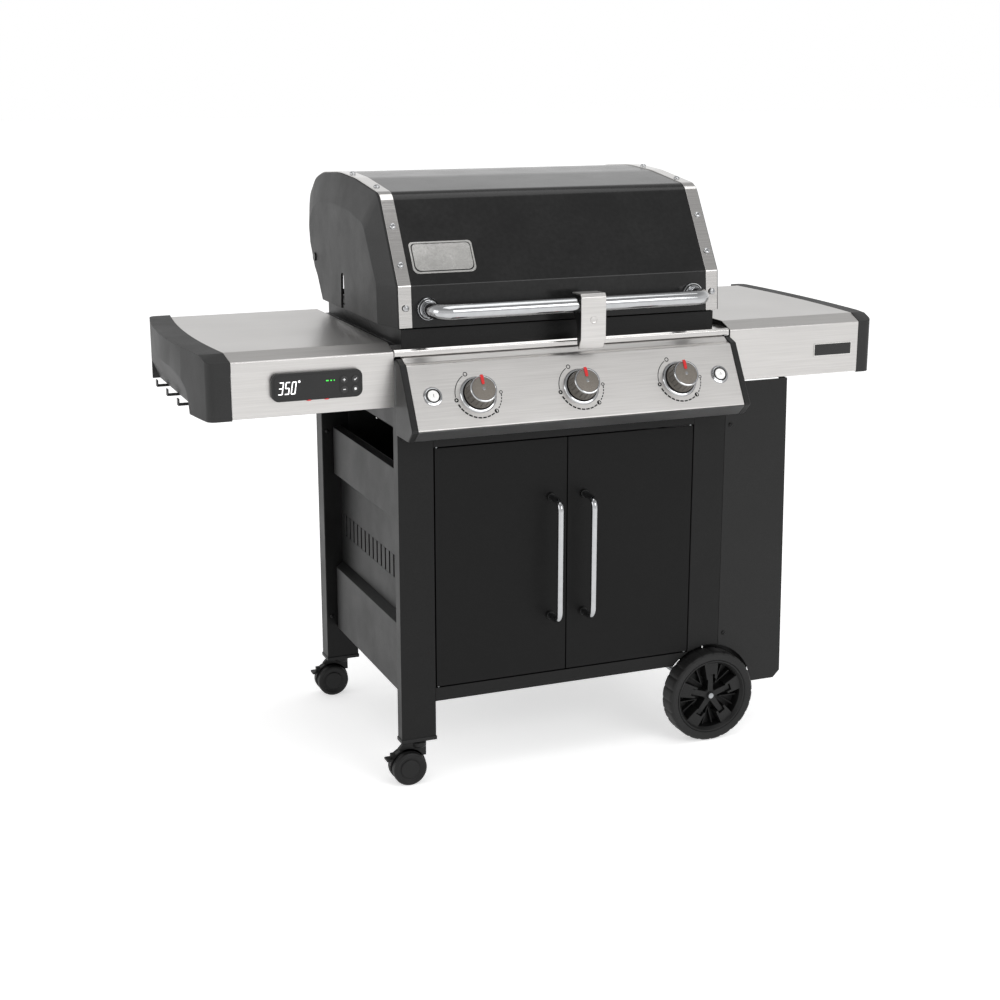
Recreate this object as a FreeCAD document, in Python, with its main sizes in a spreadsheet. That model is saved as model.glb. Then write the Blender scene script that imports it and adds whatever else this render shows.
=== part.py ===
import FreeCAD, Part
import math
import os
import re
import Sketcher

# Gas barbecue on a rolling cabinet, in millimetres.
# +Z is up and -Y is the front. Every sub-part is drawn about the cabinet's middle, on the
# floor midway between the four legs. The files are written in the shared frame, whose origin
# is on the floor under the middle of the whole outline, tables and knobs included.

os.makedirs("parts", exist_ok=True)
doc = FreeCAD.newDocument("gas_barbecue")

# ---------------------------------------------------------------- driving dimensions
SIZES = [
    # cart
    ("frame_x", 13.5, "cabinet middle, right of the shared frame's origin"),
    ("frame_y", 26.2, "cabinet middle, behind the shared frame's origin"),
    ("leg_out", 366, "outer side of the legs, from the middle"),
    ("leg_in", 291.5, "inner side of the legs, from the middle"),
    ("leg_depth", 28, "front legs, front to back"),
    ("rear_depth", 44, "rear legs, front to back"),
    ("leg_wall", 2, "sheet of the legs"),
    ("cart_half", 290, "front face of the front legs, from the middle"),
    ("leg_top", 888, "top of the legs"),
    ("leg_base", 92, "foot of the two caster legs"),
    ("arch_base", 196, "foot of the two wheel legs"),
    ("floor_low", 176, "underside of the cabinet floor"),
    ("sheet", 1.5, "folded steel sheet of panels"),
    ("side_face", 345, "outer face of the side panels, from the middle"),
    ("side_recess", 21, "depth of the pressed recess in a side panel"),
    ("side_top", 652, "top edge of the side panels"),
    ("recess_low", 332, "bottom of the side recess"),
    ("recess_high", 542, "top of the side recess"),
    ("slot_low", 399, "bottom of the side vents"),
    ("slot_high", 448, "top of the side vents"),
    ("slot_pitch", 28.2, "spacing of the side vents"),
    ("slot_half", 4, "half width of a side vent"),
    ("back_side", 303, "side of the back panel, from the middle"),
    ("back_step", 660, "top of the back panel below the grease tray"),
    ("back_high", 720, "top of the back panel beside the grease tray"),
    ("tray_way", 237.5, "half width of the grease tray's way out"),
    # doors
    ("door_low", 206, "bottom edge of the doors"),
    ("door_high", 707, "top edge of the doors"),
    ("door_out", 289, "hinge edge of a door, from the middle"),
    ("door_in", 1.25, "closing edge of a door, from the middle"),
    ("door_thick", 18, "depth of a door"),
    ("door_skin", 2, "sheet of a door"),
    ("door_pin", 284.5, "door hinge axis, from the middle"),
    ("door_pin_in", 4.5, "door hinge axis behind the door face"),
    ("door_pin_rad", 2.5, "radius of a door hinge pin"),
    ("pull_x", 37.6, "door handle, from the middle"),
    ("pull_low", 330, "lower foot of a door handle"),
    ("pull_high", 585, "upper foot of a door handle"),
    ("pull_out", 52, "door handle in front of the door"),
    ("pull_rad", 6.5, "radius of the door handle rod"),
    ("rail_low", 174.5, "underside of the front bottom rail"),
    ("rail_top", 745, "top of the front top rail"),
    # side tables
    ("table_top", 919, "working height of the tables"),
    ("table_lip", 905, "top of a table's front face"),
    ("table_low", 795, "bottom of a table's front face"),
    ("table_front", 289, "front face of the tables, from the middle"),
    ("table_bevel", 250.5, "front edge of the flat table top"),
    ("table_back", 242, "rear edge of the table tops"),
    ("table_in", 371, "inner end of the tables"),
    ("table_left", 688, "outer end of the left table sheet"),
    ("table_right", 684, "outer end of the right table sheet"),
    ("cap_left", 736, "outer end of the left cap at its corners"),
    ("cap_right", 722, "outer end of the right cap at its corners"),
    ("cap_bow_left", 27, "bow of the left cap's outer side"),
    ("cap_bow_right", 14, "bow of the right cap's outer side"),
    ("cap_back", 266, "rear end of the caps"),
    ("scoop_front", 188, "front end of the left cap's scoop, from the middle"),
    ("scoop_rear", 212, "rear end of the left cap's scoop, from the middle"),
    ("scoop_top", 866, "top of the left cap's scoop"),
    ("scoop_out", 762, "scoop wall at its top, from the middle"),
    ("scoop_in", 729, "scoop wall at its foot, from the middle"),
    ("hook_pitch", 108, "spacing of the tool hooks"),
    ("hook_y", 30, "middle tool hook, behind the middle"),
    ("hook_low", 790, "underside of the tool hooks"),
    ("hook_out", 752, "tip of the tool hooks, from the middle"),
    ("hook_in", 721.5, "root of the tool hooks, from the middle"),
    # display on the left table
    ("unit_left", 617, "left end of the display unit, from the middle"),
    ("unit_right", 438, "right end of the display unit, from the middle"),
    ("unit_low", 826, "bottom of the display unit"),
    ("unit_high", 880, "top of the display unit"),
    ("unit_deep", 11, "display unit in front of the table face"),
    ("unit_corner", 14, "corner radius of the display unit"),
    ("key_rad", 7.5, "radius of a display key"),
    ("key_gap", 0.3, "gap round a key"),
    # cookbox
    ("box_side", 341, "outer side of the cookbox, from the middle"),
    ("box_front", 222, "front wall of the cookbox, from the middle"),
    ("box_back", 245, "rear wall of the cookbox, from the middle"),
    ("box_low", 735, "underside of the cookbox"),
    ("box_rim", 960, "rim of the cookbox"),
    ("box_wall", 4, "cast wall of the cookbox"),
    ("grate_z", 928, "ledge that the grates lie on"),
    ("grate_thick", 11, "depth of a grate"),
    ("flange_z", 904, "underside of the cookbox flange"),
    ("flange_side", 365.5, "side of the cookbox flange, from the middle"),
    ("flange_front", 284, "front of the cookbox flange, from the middle"),
    ("flange_thick", 4, "cookbox flange"),
    ("collar_front", 259, "front of the cookbox collar, from the middle"),
    ("collar_side", 345, "side of the cookbox collar, from the middle"),
    ("collar_top", 943, "top of the cookbox collar"),
    ("inlet_x", 290, "root of the gas inlet stub, from the middle"),
    ("inlet_y", 240, "gas inlet stub, in front of the middle"),
    ("inlet_z", 768, "height of the gas inlet stub"),
    ("inlet_long", 40, "length of the gas inlet stub"),
    ("inlet_rad", 7.94, "radius of the gas inlet stub"),
    ("manifold_y", 284, "gas manifold, in front of the middle"),
    ("manifold_z", 787, "height of the gas manifold"),
    ("manifold_rad", 9.5, "radius of the gas manifold"),
    ("burner_z", 812, "burner axis height"),
    ("burner_x", 220, "spacing of burners and knobs"),
    ("burner_rad", 12.5, "radius of a burner tube"),
    # lid
    ("hinge_y", 240, "lid hinge axis, behind the middle"),
    ("hinge_z", 1034, "lid hinge axis height"),
    ("hinge_rad", 5, "radius of a lid hinge pin"),
    ("lid_low", 946, "bottom edge of the lid"),
    ("lid_front", 264.5, "front of the lid at its bottom edge"),
    ("crease_z", 1027, "crease in the lid's front"),
    ("crease_y", 259, "lid front at the crease"),
    ("brow_y", 155, "upper front corner of the lid"),
    ("brow_z", 1195, "height of the upper front corner"),
    ("crown_y", 110, "highest line of the lid, behind the middle"),
    ("crown_z", 1223, "height of the lid"),
    ("nape_y", 285, "start of the lid's rear slope"),
    ("nape_z", 1207, "height at the start of the rear slope"),
    ("back_y", 342, "rearmost line of the lid"),
    ("back_z", 1135, "height of the rearmost line"),
    ("tail_y", 326, "rear bottom edge of the lid panel"),
    ("tail_z", 1064, "height of the rear bottom edge"),
    ("lid_wall", 1.2, "lid sheet"),
    ("lid_half", 347, "inner face of the lid end castings"),
    ("lid_edge", 350, "rim of the lid end castings"),
    ("lid_side", 372, "outer face of the lid end castings"),
    ("band_in", 324, "inner edge of the trim bands"),
    ("band_thick", 2.5, "trim band"),
    ("inset", 62, "border of an end casting's raised face"),
    ("spit_y", 38, "spit notch, behind the middle"),
    ("spit_half", 14, "half width of the spit notch"),
    ("spit_top", 1019, "top of the spit notch"),
    # lid handle
    ("bar_y", 328, "lid handle bar in front of the middle"),
    ("bar_z", 982, "lid handle bar height"),
    ("bar_x", 291, "lid handle foot, from the middle"),
    ("bar_rad", 15, "radius of the lid handle tube"),
    ("bar_bend", 34, "bend radius of the lid handle tube"),
    # control panel
    ("lip_y", 287.5, "front of the panel lip"),
    ("lip_top", 904, "top of the panel lip"),
    ("lip_low", 895, "bottom of the panel lip"),
    ("face_top_y", 317, "upper edge of the panel face"),
    ("face_top_z", 882.6, "height of the panel face's upper edge"),
    ("face_low_y", 385, "lower edge of the panel face"),
    ("face_low_z", 765.4, "height of the panel face's lower edge"),
    ("trim_y", 361, "front of the panel trim's lower edge"),
    ("trim_z", 743, "height of the panel trim's lower edge"),
    ("panel_half", 355.5, "end of the panel face, from the middle"),
    ("dial_z", 822.3, "height of the knobs' centres on the face"),
    ("knob_rad", 30, "radius of a knob"),
    ("knob_deep", 35, "height of a knob"),
    ("push_x", 313.5, "panel push buttons, from the middle"),
    ("push_z", 825, "height of the push buttons on the face"),
    ("push_rad", 11.5, "radius of a push button"),
    # tank shield
    ("shield_out", 525, "outer edge of the tank shield's flat face"),
    ("shield_low", 113, "bottom edge of the tank shield"),
    ("shield_deep", 34, "return of the tank shield"),
    # wheels and casters
    ("wheel_rad", 101.6, "radius of a wheel"),
    ("arch_rad", 111, "radius of the cut-outs over the wheels"),
    ("wheel_x", 341, "wheel axis, from the middle"),
    ("wheel_out", 319, "outer face of a wheel, from the middle"),
    ("wheel_wide", 46, "width of a wheel"),
    ("axle_rad", 6, "radius of the axle"),
    ("caster_rad", 36, "radius of a caster wheel"),
    ("caster_x", 325, "caster stem, from the middle"),
    ("caster_y", 276, "caster stem, from the middle"),
    ("caster_trail", 26, "caster wheel axis behind its stem"),
    ("caster_wide", 17, "width of one caster wheel"),
    ("caster_stem", 5.5, "radius of a caster stem"),
    ("running_gap", 0.07, "radial clearance of a turning fit"),
]
sheet = doc.addObject("Spreadsheet::Sheet", "Dimensions")
for row, (alias, number, note) in enumerate(SIZES, start=1):
    sheet.set("A%d" % row, alias)
    sheet.set("B%d" % row, str(number))
    sheet.set("C%d" % row, note)
    sheet.setAlias("B%d" % row, alias)
doc.recompute()
ALIASES = {alias for alias, number, note in SIZES}
WORD = re.compile(r"[a-z][a-z_]+")
FRONT, BACK = "-1", "1"
nodes = {}


def bound(text):
    """An expression with each alias written as a cell of the sheet."""
    def cell(match):
        word = match.group(0)
        return "Dimensions." + word if word in ALIASES else word
    return WORD.sub(cell, str(text))


def size(text):
    """The present value of an expression, in millimetres."""
    return float(probe.evalExpression(bound(text)))


def bind(thing, path, text):
    """Bind one property of an object to an expression on the sheet."""
    thing.setExpression(path, bound(text))


def flip(text):
    return "-(%s)" % text


probe = doc.addObject("App::FeaturePython", "Probe")


def keep(thing, label):
    """File an object as a finished sub-part."""
    thing.Label = label
    nodes[label] = thing
    return thing


# ---------------------------------------------------------------- sketches and bodies
def plane_of(body, role):
    for feature in body.Origin.OriginFeatures:
        if feature.Role == role:
            return feature
    raise ValueError(role)


def sketch_on(body, role, start):
    """A sketch on one of the body's own planes, moved along the plane's normal."""
    sketch = body.newObject("Sketcher::SketchObject", "Sketch")
    sketch.AttachmentSupport = [(plane_of(body, role), "")]
    sketch.MapMode = "FlatFace"
    bind(sketch, ".AttachmentOffset.Base.z", start)
    return sketch


def fix_coordinate(sketch, kind, line, text, number):
    """Dimension one coordinate of a line's first point from the sketch origin."""
    if abs(number) < 1e-6:
        axis = -2 if kind == "DistanceX" else -1
        sketch.addConstraint(Sketcher.Constraint("PointOnObject", line, 1, axis))
        return
    index = sketch.addConstraint(Sketcher.Constraint(kind, line, 1, number))
    sketch.setExpression("Constraints[%d]" % index, bound(text))


def add_loop(sketch, points):
    """A closed loop of straight lines through points given as pairs of expressions."""
    places = [FreeCAD.Vector(size(x), size(y), 0) for x, y in points]
    first = sketch.GeometryCount
    count = len(points)
    for i in range(count):
        sketch.addGeometry(Part.LineSegment(places[i], places[(i + 1) % count]), False)
    for i in range(count):
        after = first + (i + 1) % count
        sketch.addConstraint(Sketcher.Constraint("Coincident", first + i, 2, after, 1))
    for i in range(count):
        fix_coordinate(sketch, "DistanceX", first + i, points[i][0], places[i].x)
        fix_coordinate(sketch, "DistanceY", first + i, points[i][1], places[i].y)


def add_circle(sketch, x, y, radius):
    """A circle with its centre and radius bound to expressions."""
    centre = FreeCAD.Vector(size(x), size(y), 0)
    line = sketch.addGeometry(Part.Circle(centre, FreeCAD.Vector(0, 0, 1), size(radius)), False)
    for kind, text, number in (("DistanceX", x, centre.x), ("DistanceY", y, centre.y)):
        if abs(number) < 1e-6:
            axis = -2 if kind == "DistanceX" else -1
            sketch.addConstraint(Sketcher.Constraint("PointOnObject", line, 3, axis))
        else:
            index = sketch.addConstraint(Sketcher.Constraint(kind, line, 3, number))
            sketch.setExpression("Constraints[%d]" % index, bound(text))
    index = sketch.addConstraint(Sketcher.Constraint("Radius", line, size(radius)))
    sketch.setExpression("Constraints[%d]" % index, bound(radius))


def draw(sketch, loops):
    """Loops are lists of points, or a circle as ('circle', x, y, radius)."""
    for loop in loops:
        if loop[0] == "circle":
            add_circle(sketch, *loop[1:])
        else:
            add_loop(sketch, loop)


def rectangle(x0, x1, y0, y1):
    return [(x0, y0), (x1, y0), (x1, y1), (x0, y1)]


def offset_points(points, amount, closed=False):
    """The points moved to the left of their path by an amount, given as an expression."""
    places = [FreeCAD.Vector(size(x), size(y), 0) for x, y in points]
    moved = []
    for i, (x, y) in enumerate(points):
        ahead = places[(i + 1) % len(places)] if closed or i < len(places) - 1 else None
        behind = places[i - 1] if closed or i > 0 else None
        turns = []
        for a, b in ((behind, places[i]), (places[i], ahead)):
            if a is not None and b is not None:
                run = (b - a).normalize()
                turns.append(FreeCAD.Vector(-run.y, run.x, 0))
        total = turns[0] if len(turns) == 1 else turns[0] + turns[1]
        scale = 1 if len(turns) == 1 else 2 / (total.Length ** 2)
        moved.append(("(%s) + %.4f * %s" % (x, total.x * scale, amount),
                      "(%s) + %.4f * %s" % (y, total.y * scale, amount)))
    return moved


def new_body():
    return doc.addObject("PartDesign::Body", "Body")


def add_pad(body, role, start, length, loops):
    """Material from `start` along the plane's normal, for `length`."""
    sketch = sketch_on(body, role, start)
    draw(sketch, loops)
    pad = body.newObject("PartDesign::Pad", "Pad")
    pad.Profile = sketch
    bind(pad, "Length", length)
    doc.recompute()
    return pad


def add_pocket(body, role, start, length, loops):
    """Cut from `start` along the plane's normal, for `length`."""
    before = body.Shape.Volume
    sketch = sketch_on(body, role, start)
    draw(sketch, loops)
    pocket = body.newObject("PartDesign::Pocket", "Pocket")
    pocket.Profile = sketch
    pocket.Reversed = True
    bind(pocket, "Length", length)
    doc.recompute()
    if body.Shape.Volume > before - 1e-3:
        raise RuntimeError("a pocket of %s cut nothing" % body.Name)
    return pocket


def edges_at(shape, role, corners):
    """Names of the edges that run along a plane's normal through the given corners."""
    across = {"YZ_Plane": (1, 2), "XZ_Plane": (0, 2), "XY_Plane": (0, 1)}[role]
    names = []
    for number, edge in enumerate(shape.Edges, start=1):
        ends = [vertex.Point for vertex in edge.Vertexes]
        if len(ends) != 2:
            continue
        for u, v in corners:
            if all(math.hypot(p[across[0]] - u, p[across[1]] - v) < 0.02 for p in ends):
                names.append("Edge%d" % number)
    return names


def round_edges(body, role, corners, radius):
    """Fillet the edges that stand on the given corners of a plane."""
    doc.recompute()
    places = [(size(u), size(v)) for u, v in corners]
    names = edges_at(body.Shape, role, places)
    if not names:
        raise RuntimeError("no edge to round on %s" % body.Name)
    base = body.Tip
    fillet = body.newObject("PartDesign::Fillet", "Fillet")
    fillet.Base = (base, names)
    bind(fillet, "Radius", radius)
    doc.recompute()
    return fillet


def prism(label, role, start, length, loops, rounds=None):
    """A finished sub-part padded from one sketch, with optional rounded corners."""
    body = new_body()
    add_pad(body, role, start, length, loops)
    if rounds:
        round_edges(body, role, rounds[0], rounds[1])
    return keep(body, label)


def turned(label, points):
    """A solid turned about the body's own Z axis, from a profile of (radius, height)."""
    body = new_body()
    sketch = sketch_on(body, "XZ_Plane", "0")
    add_loop(sketch, points)
    turn = body.newObject("PartDesign::Revolution", "Revolution")
    turn.Profile = sketch
    turn.ReferenceAxis = (sketch, ["V_Axis"])
    turn.Angle = 360
    doc.recompute()
    return keep(body, label)


def place(thing, x, y, z, axis=(0, 0, 1), angle=0):
    """Move a sub-part: its place is read from the sheet."""
    base = FreeCAD.Vector(size(x), size(y), size(z))
    thing.Placement = FreeCAD.Placement(base, FreeCAD.Rotation(FreeCAD.Vector(*axis), angle))
    return thing


# ---------------------------------------------------------------- primitives
def block(x0, x1, y0, y1, z0, z1):
    box = doc.addObject("Part::Box", "Box")
    bind(box, "Length", "(%s) - (%s)" % (x1, x0))
    bind(box, "Width", "(%s) - (%s)" % (y1, y0))
    bind(box, "Height", "(%s) - (%s)" % (z1, z0))
    bind(box, ".Placement.Base.x", x0)
    bind(box, ".Placement.Base.y", y0)
    bind(box, ".Placement.Base.z", z0)
    return box


AXES = {"X": ((0, 1, 0), 90), "Y": ((1, 0, 0), -90), "Z": ((0, 0, 1), 0)}


def rod(axis, x, y, z, radius, length):
    """A cylinder that starts at a point and runs along +X, +Y or +Z."""
    cylinder = doc.addObject("Part::Cylinder", "Cylinder")
    vector, angle = AXES[axis]
    cylinder.Placement.Rotation = FreeCAD.Rotation(FreeCAD.Vector(*vector), angle)
    bind(cylinder, "Radius", radius)
    bind(cylinder, "Height", length)
    bind(cylinder, ".Placement.Base.x", x)
    bind(cylinder, ".Placement.Base.y", y)
    bind(cylinder, ".Placement.Base.z", z)
    return cylinder


def joined(parts):
    fuse = doc.addObject("Part::MultiFuse", "Fuse")
    fuse.Shapes = parts
    return fuse


def less(base, tool):
    cut = doc.addObject("Part::Cut", "Cut")
    cut.Base = base
    cut.Tool = tool
    return cut


def group(label, parts):
    """Separate solids that share one node."""
    compound = doc.addObject("Part::Compound", "Group")
    compound.Links = parts
    return keep(compound, label)


def bent_rod(points, radius, bend):
    """A round rod along straight runs joined by tangent arcs of one bend radius."""
    corners = [FreeCAD.Vector(*point) for point in points]
    edges = []
    start = corners[0]
    for i in range(1, len(corners) - 1):
        before = (corners[i - 1] - corners[i]).normalize()
        after = (corners[i + 1] - corners[i]).normalize()
        half = before.getAngle(after) / 2
        reach = bend / math.tan(half)
        leave = corners[i] + before * reach
        enter = corners[i] + after * reach
        middle = corners[i] + (before + after).normalize() * (bend / math.sin(half) - bend)
        edges.append(Part.LineSegment(start, leave).toShape())
        edges.append(Part.Arc(leave, middle, enter).toShape())
        start = enter
    edges.append(Part.LineSegment(start, corners[-1]).toShape())
    path = Part.Wire(edges)
    heading = (corners[1] - corners[0]).normalize()
    ring = Part.Wire(Part.Circle(corners[0], heading, radius).toShape())
    feature = doc.addObject("Part::Feature", "Rod")
    feature.Shape = path.makePipeShell([ring], True, False)
    return feature


# ================================================================= cart
def side_pair(name, maker):
    """Build the left and the right one of a mirrored sub-part."""
    for label, sign in (("left_" + name, "-1"), ("right_" + name, "1")):
        maker(label, sign)


def leg(label, sign, face, base):
    """Pressed steel channel leg, closed at the foot."""
    body = new_body()
    x0, x1 = "%s * leg_out" % sign, "%s * leg_in" % sign
    front = "-cart_half" if face == FRONT else "cart_half - rear_depth"
    back = "-cart_half + leg_depth" if face == FRONT else "cart_half"
    add_pad(body, "XY_Plane", base, "leg_top - (%s)" % base, [rectangle(x0, x1, front, back)])
    inner = rectangle("%s * (leg_out - leg_wall)" % sign, "%s * (leg_in + leg_wall)" % sign,
                      "%s + leg_wall" % front, "%s - leg_wall" % back)
    add_pocket(body, "XY_Plane", "%s + 5" % base, "leg_top - (%s)" % base, [inner])
    return body


def caster_leg(face):
    body = leg("", "-1", face, "leg_base")
    y = "%s * caster_y" % face
    add_pocket(body, "XY_Plane", "leg_base - 1", "8",
               [("circle", "-caster_x", y, "caster_stem + running_gap")])
    return body


def wheel_leg(face):
    """The leg over a wheel has its foot cut to the wheel's arch."""
    body = leg("", "1", face, "arch_base")
    add_pocket(body, "XZ_Plane", "-cart_half - 1", "2 * cart_half + 2",
               [("circle", "wheel_x", "wheel_rad", "arch_rad")])
    return body


keep(caster_leg(FRONT), "front_left_leg")
keep(wheel_leg(FRONT), "front_right_leg")
rear_left = caster_leg(BACK)
rear_right = wheel_leg(BACK)
group("rear_legs", [rear_left, rear_right])


def tube_x(x0, x1, y0, y1, z0, z1):
    """Box section along X with 2 mm walls and open ends."""
    return less(block(x0, x1, y0, y1, z0, z1),
                block(x0 + " - 1", x1 + " + 1", y0 + " + leg_wall", y1 + " - leg_wall",
                      z0 + " + leg_wall", z1 + " - leg_wall"))


def frame_rails():
    """Cross members between the legs, the side rails under the tables, the axle hangers and the
    wheel guards behind the cut-away legs."""
    front = "-cart_half"
    top = tube_x("-leg_in", "leg_in", front, front + " + 24", "door_high + 3", "rail_top")
    arch = rod("Y", "wheel_x", "-cart_half - 1", "wheel_rad", "arch_rad", "2 * cart_half + 2")
    low = less(tube_x("-leg_in", "leg_in", front, front + " + 26", "rail_low", "door_low - 3"), arch)
    rear = less(tube_x("-leg_in", "leg_in", "cart_half - 24", "cart_half - 2", "rail_low",
                       "door_low - 3"), arch)
    back_top = tube_x("-leg_in", "leg_in", "cart_half - 24", "cart_half - 2", "722", "rail_top")
    sides = []
    for x0, x1 in (("-leg_out", "-leg_out + 22"), ("leg_out - 22", "leg_out")):
        bar = block(x0, x1, "-cart_half + leg_depth", "cart_half - rear_depth", "862", "flange_z")
        bore = block(x0 + " + leg_wall", x1 + " - leg_wall", "-cart_half + leg_depth - 1",
                     "cart_half - rear_depth + 1", "862 + leg_wall", "flange_z - leg_wall")
        sides.append(less(bar, bore))
    hangers = []
    for y0, y1 in (("-252", "-246"), ("246", "252")):
        plate = block("wheel_x - 22", "wheel_x + 16", y0, y1, "wheel_rad - 16", "floor_low")
        hole = rod("Y", "wheel_x", y0 + " - 1", "wheel_rad", "axle_rad", "8")
        hangers.append(less(plate, hole))
    guards = []
    for y in ("-cart_half + leg_depth", "cart_half - rear_depth - sheet"):
        low_part = block("leg_in", "leg_out", y, y + " + sheet", "wheel_rad + 8", "floor_low")
        high_part = block("side_face", "leg_out", y, y + " + sheet", "floor_low", "arch_base + 20")
        guards.append(joined([low_part, high_part]))
    guards.append(block("leg_out", "wheel_x + arch_rad + 6", "-cart_half + leg_depth",
                        "-cart_half + leg_depth + sheet", "wheel_rad + 28", "arch_base + 20"))
    return [top, low, rear, back_top] + sides + hangers + guards


group("frame_rails", frame_rails())


def tray_runners():
    """Two ledges that the grease tray slides on, hung from the rails."""
    runners = []
    for x0, x1, x2, x3 in (("-236", "-205", "-236", "-232"), ("205", "236", "232", "236")):
        bar = block(x0, x1, "-cart_half + 24", "cart_half - 24", "661", "665.7")
        posts = [block(x2, x3, y0, y1, "661", "rail_top") for y0, y1 in (
            ("-cart_half + 24", "-cart_half + 40"), ("cart_half - 40", "cart_half - 24"))]
        runners.append(joined([bar] + posts))
    return runners


group("tray_runners", tray_runners())


def side_panel(label, sign):
    """Pressed side panel with a shallow recess and a row of upright vents."""
    body = new_body()
    outer = "%s * side_face" % sign
    deep = "%s * (side_face - side_recess)" % sign
    inner = "%s * (side_face - side_recess - sheet)" % sign
    skin = "%s * (side_face - sheet)" % sign
    profile = [(outer, "floor_low"), (outer, "recess_low - 2"), (deep, "recess_low + 2"),
               (deep, "recess_high - 5"), (outer, "recess_high"), (outer, "side_top"),
               (skin, "side_top"), (skin, "recess_high - 1"), (inner, "recess_high - 6"),
               (inner, "recess_low + 3"), (skin, "recess_low - 1"), (skin, "floor_low")]
    depth = "2 * cart_half - leg_depth - rear_depth"
    add_pad(body, "XZ_Plane", "-cart_half + rear_depth", depth, [profile])
    slots = []
    for i in range(16):
        y = "%.1f * slot_pitch" % (i - 7.5)
        slots.append(rectangle("%s - slot_half" % y, "%s + slot_half" % y, "slot_low", "slot_high"))
    across = "-side_face" if sign == "-1" else "side_face - side_recess - 2 * sheet"
    add_pocket(body, "YZ_Plane", across, "side_recess + 2 * sheet", slots)
    keep(body, label)


side_pair("side_panel", side_panel)
prism("floor_panel", "XY_Plane", "floor_low", "sheet",
      [rectangle("-side_face + sheet", "side_face - sheet", "-cart_half + leg_depth",
                 "cart_half - rear_depth")])
prism("back_panel", "XZ_Plane", "-cart_half + rear_depth", "sheet",
      [[("-back_side", "floor_low + sheet"), ("back_side", "floor_low + sheet"),
        ("back_side", "back_high"), ("tray_way", "back_high"), ("tray_way", "back_step"),
        ("-tray_way", "back_step"), ("-tray_way", "back_high"), ("-back_side", "back_high")]])


def tank_shield():
    """Folded sheet in front of the tank space, cut round the wheel at its lower corner."""
    body = new_body()
    face = [("leg_out + 1", "shield_low + 60"), ("leg_out + 1", "table_low - 1"),
            ("shield_out - 11", "table_low - 1"), ("shield_out + 1", "shield_low + 16"),
            ("shield_out - 15", "shield_low"), ("wheel_x + 60", "shield_low")]
    add_pad(body, "XZ_Plane", "cart_half - sheet", "sheet", [face])
    add_pocket(body, "XZ_Plane", "cart_half - sheet - 1", "sheet + 2",
               [("circle", "wheel_x", "wheel_rad", "arch_rad")])
    edge = [("shield_out - 11 - sheet", "table_low - 1"), ("shield_out - 11", "table_low - 1"),
            ("shield_out + 1", "shield_low + 16"), ("shield_out + 1 - sheet", "shield_low + 16")]
    add_pad(body, "XZ_Plane", "cart_half - shield_deep", "shield_deep", [edge])
    tab = rectangle("leg_out", "leg_out + 1 + sheet", "shield_low + 110", "table_low - 1")
    add_pad(body, "XZ_Plane", "cart_half - leg_depth", "leg_depth", [tab])
    keep(body, "tank_shield")


tank_shield()


def door(label, sign):
    """Box-folded steel door with hinge holes through its top and bottom flanges."""
    body = new_body()
    x0, x1 = "%s * door_out" % sign, "%s * door_in" % sign
    back = "-cart_half + door_thick"
    add_pad(body, "XY_Plane", "door_low", "door_high - door_low",
            [rectangle(x0, x1, "-cart_half", back)])
    inner = rectangle("%s * (door_out - door_skin)" % sign, "%s * (door_in + door_skin)" % sign,
                      "-cart_half + door_skin", back + " + 1")
    add_pocket(body, "XY_Plane", "door_low + door_skin", "door_high - door_low - 2 * door_skin",
               [inner])
    pin = ("circle", "%s * door_pin" % sign, "-cart_half + door_pin_in",
           "door_pin_rad + running_gap")
    add_pocket(body, "XY_Plane", "door_low - 1", "door_high - door_low + 2", [pin])
    keep(body, label)


side_pair("door", door)


def door_pins():
    pins = []
    for sign in ("-1", "1"):
        x, y = "%s * door_pin" % sign, "-cart_half + door_pin_in"
        pins.append(rod("Z", x, y, "door_low - 3", "door_pin_rad", "door_skin + 9"))
        pins.append(rod("Z", x, y, "door_high - door_skin - 6", "door_pin_rad", "door_skin + 9"))
    return pins


group("door_hinge_pins", door_pins())


def door_pull(label, sign):
    """Bent rod handle screwed to the door face at both feet."""
    x = size("%s * pull_x" % sign)
    face, out = -size("cart_half"), -size("cart_half + pull_out")
    low, high = size("pull_low"), size("pull_high")
    path = [(x, face, low), (x, out, low), (x, out, high), (x, face, high)]
    keep(bent_rod(path, size("pull_rad"), 16), label)


side_pair("door_handle", door_pull)

# ================================================================= tables
TABLE_PROFILE = [("-table_front", "table_low"), ("-table_front", "table_lip"),
                 ("-table_bevel", "table_top"), ("table_back", "table_top"),
                 ("table_back", "table_top - 30"), ("table_back - sheet", "table_top - 30"),
                 ("table_back - sheet", "table_top - sheet"),
                 ("-table_bevel + 0.4", "table_top - sheet"),
                 ("-table_front + sheet", "table_lip - 1"),
                 ("-table_front + sheet", "table_low + sheet"),
                 ("-table_front + 16", "table_low + sheet"), ("-table_front + 16", "table_low")]


def table(label, sign):
    """Folded stainless table: a flat top, a bevelled edge and a deep front face."""
    end = "table_left" if sign == "-1" else "table_right"
    start = "-table_left" if sign == "-1" else "table_in"
    prism(label, "YZ_Plane", start, "%s - table_in" % end, [TABLE_PROFILE])


side_pair("table", table)


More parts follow.
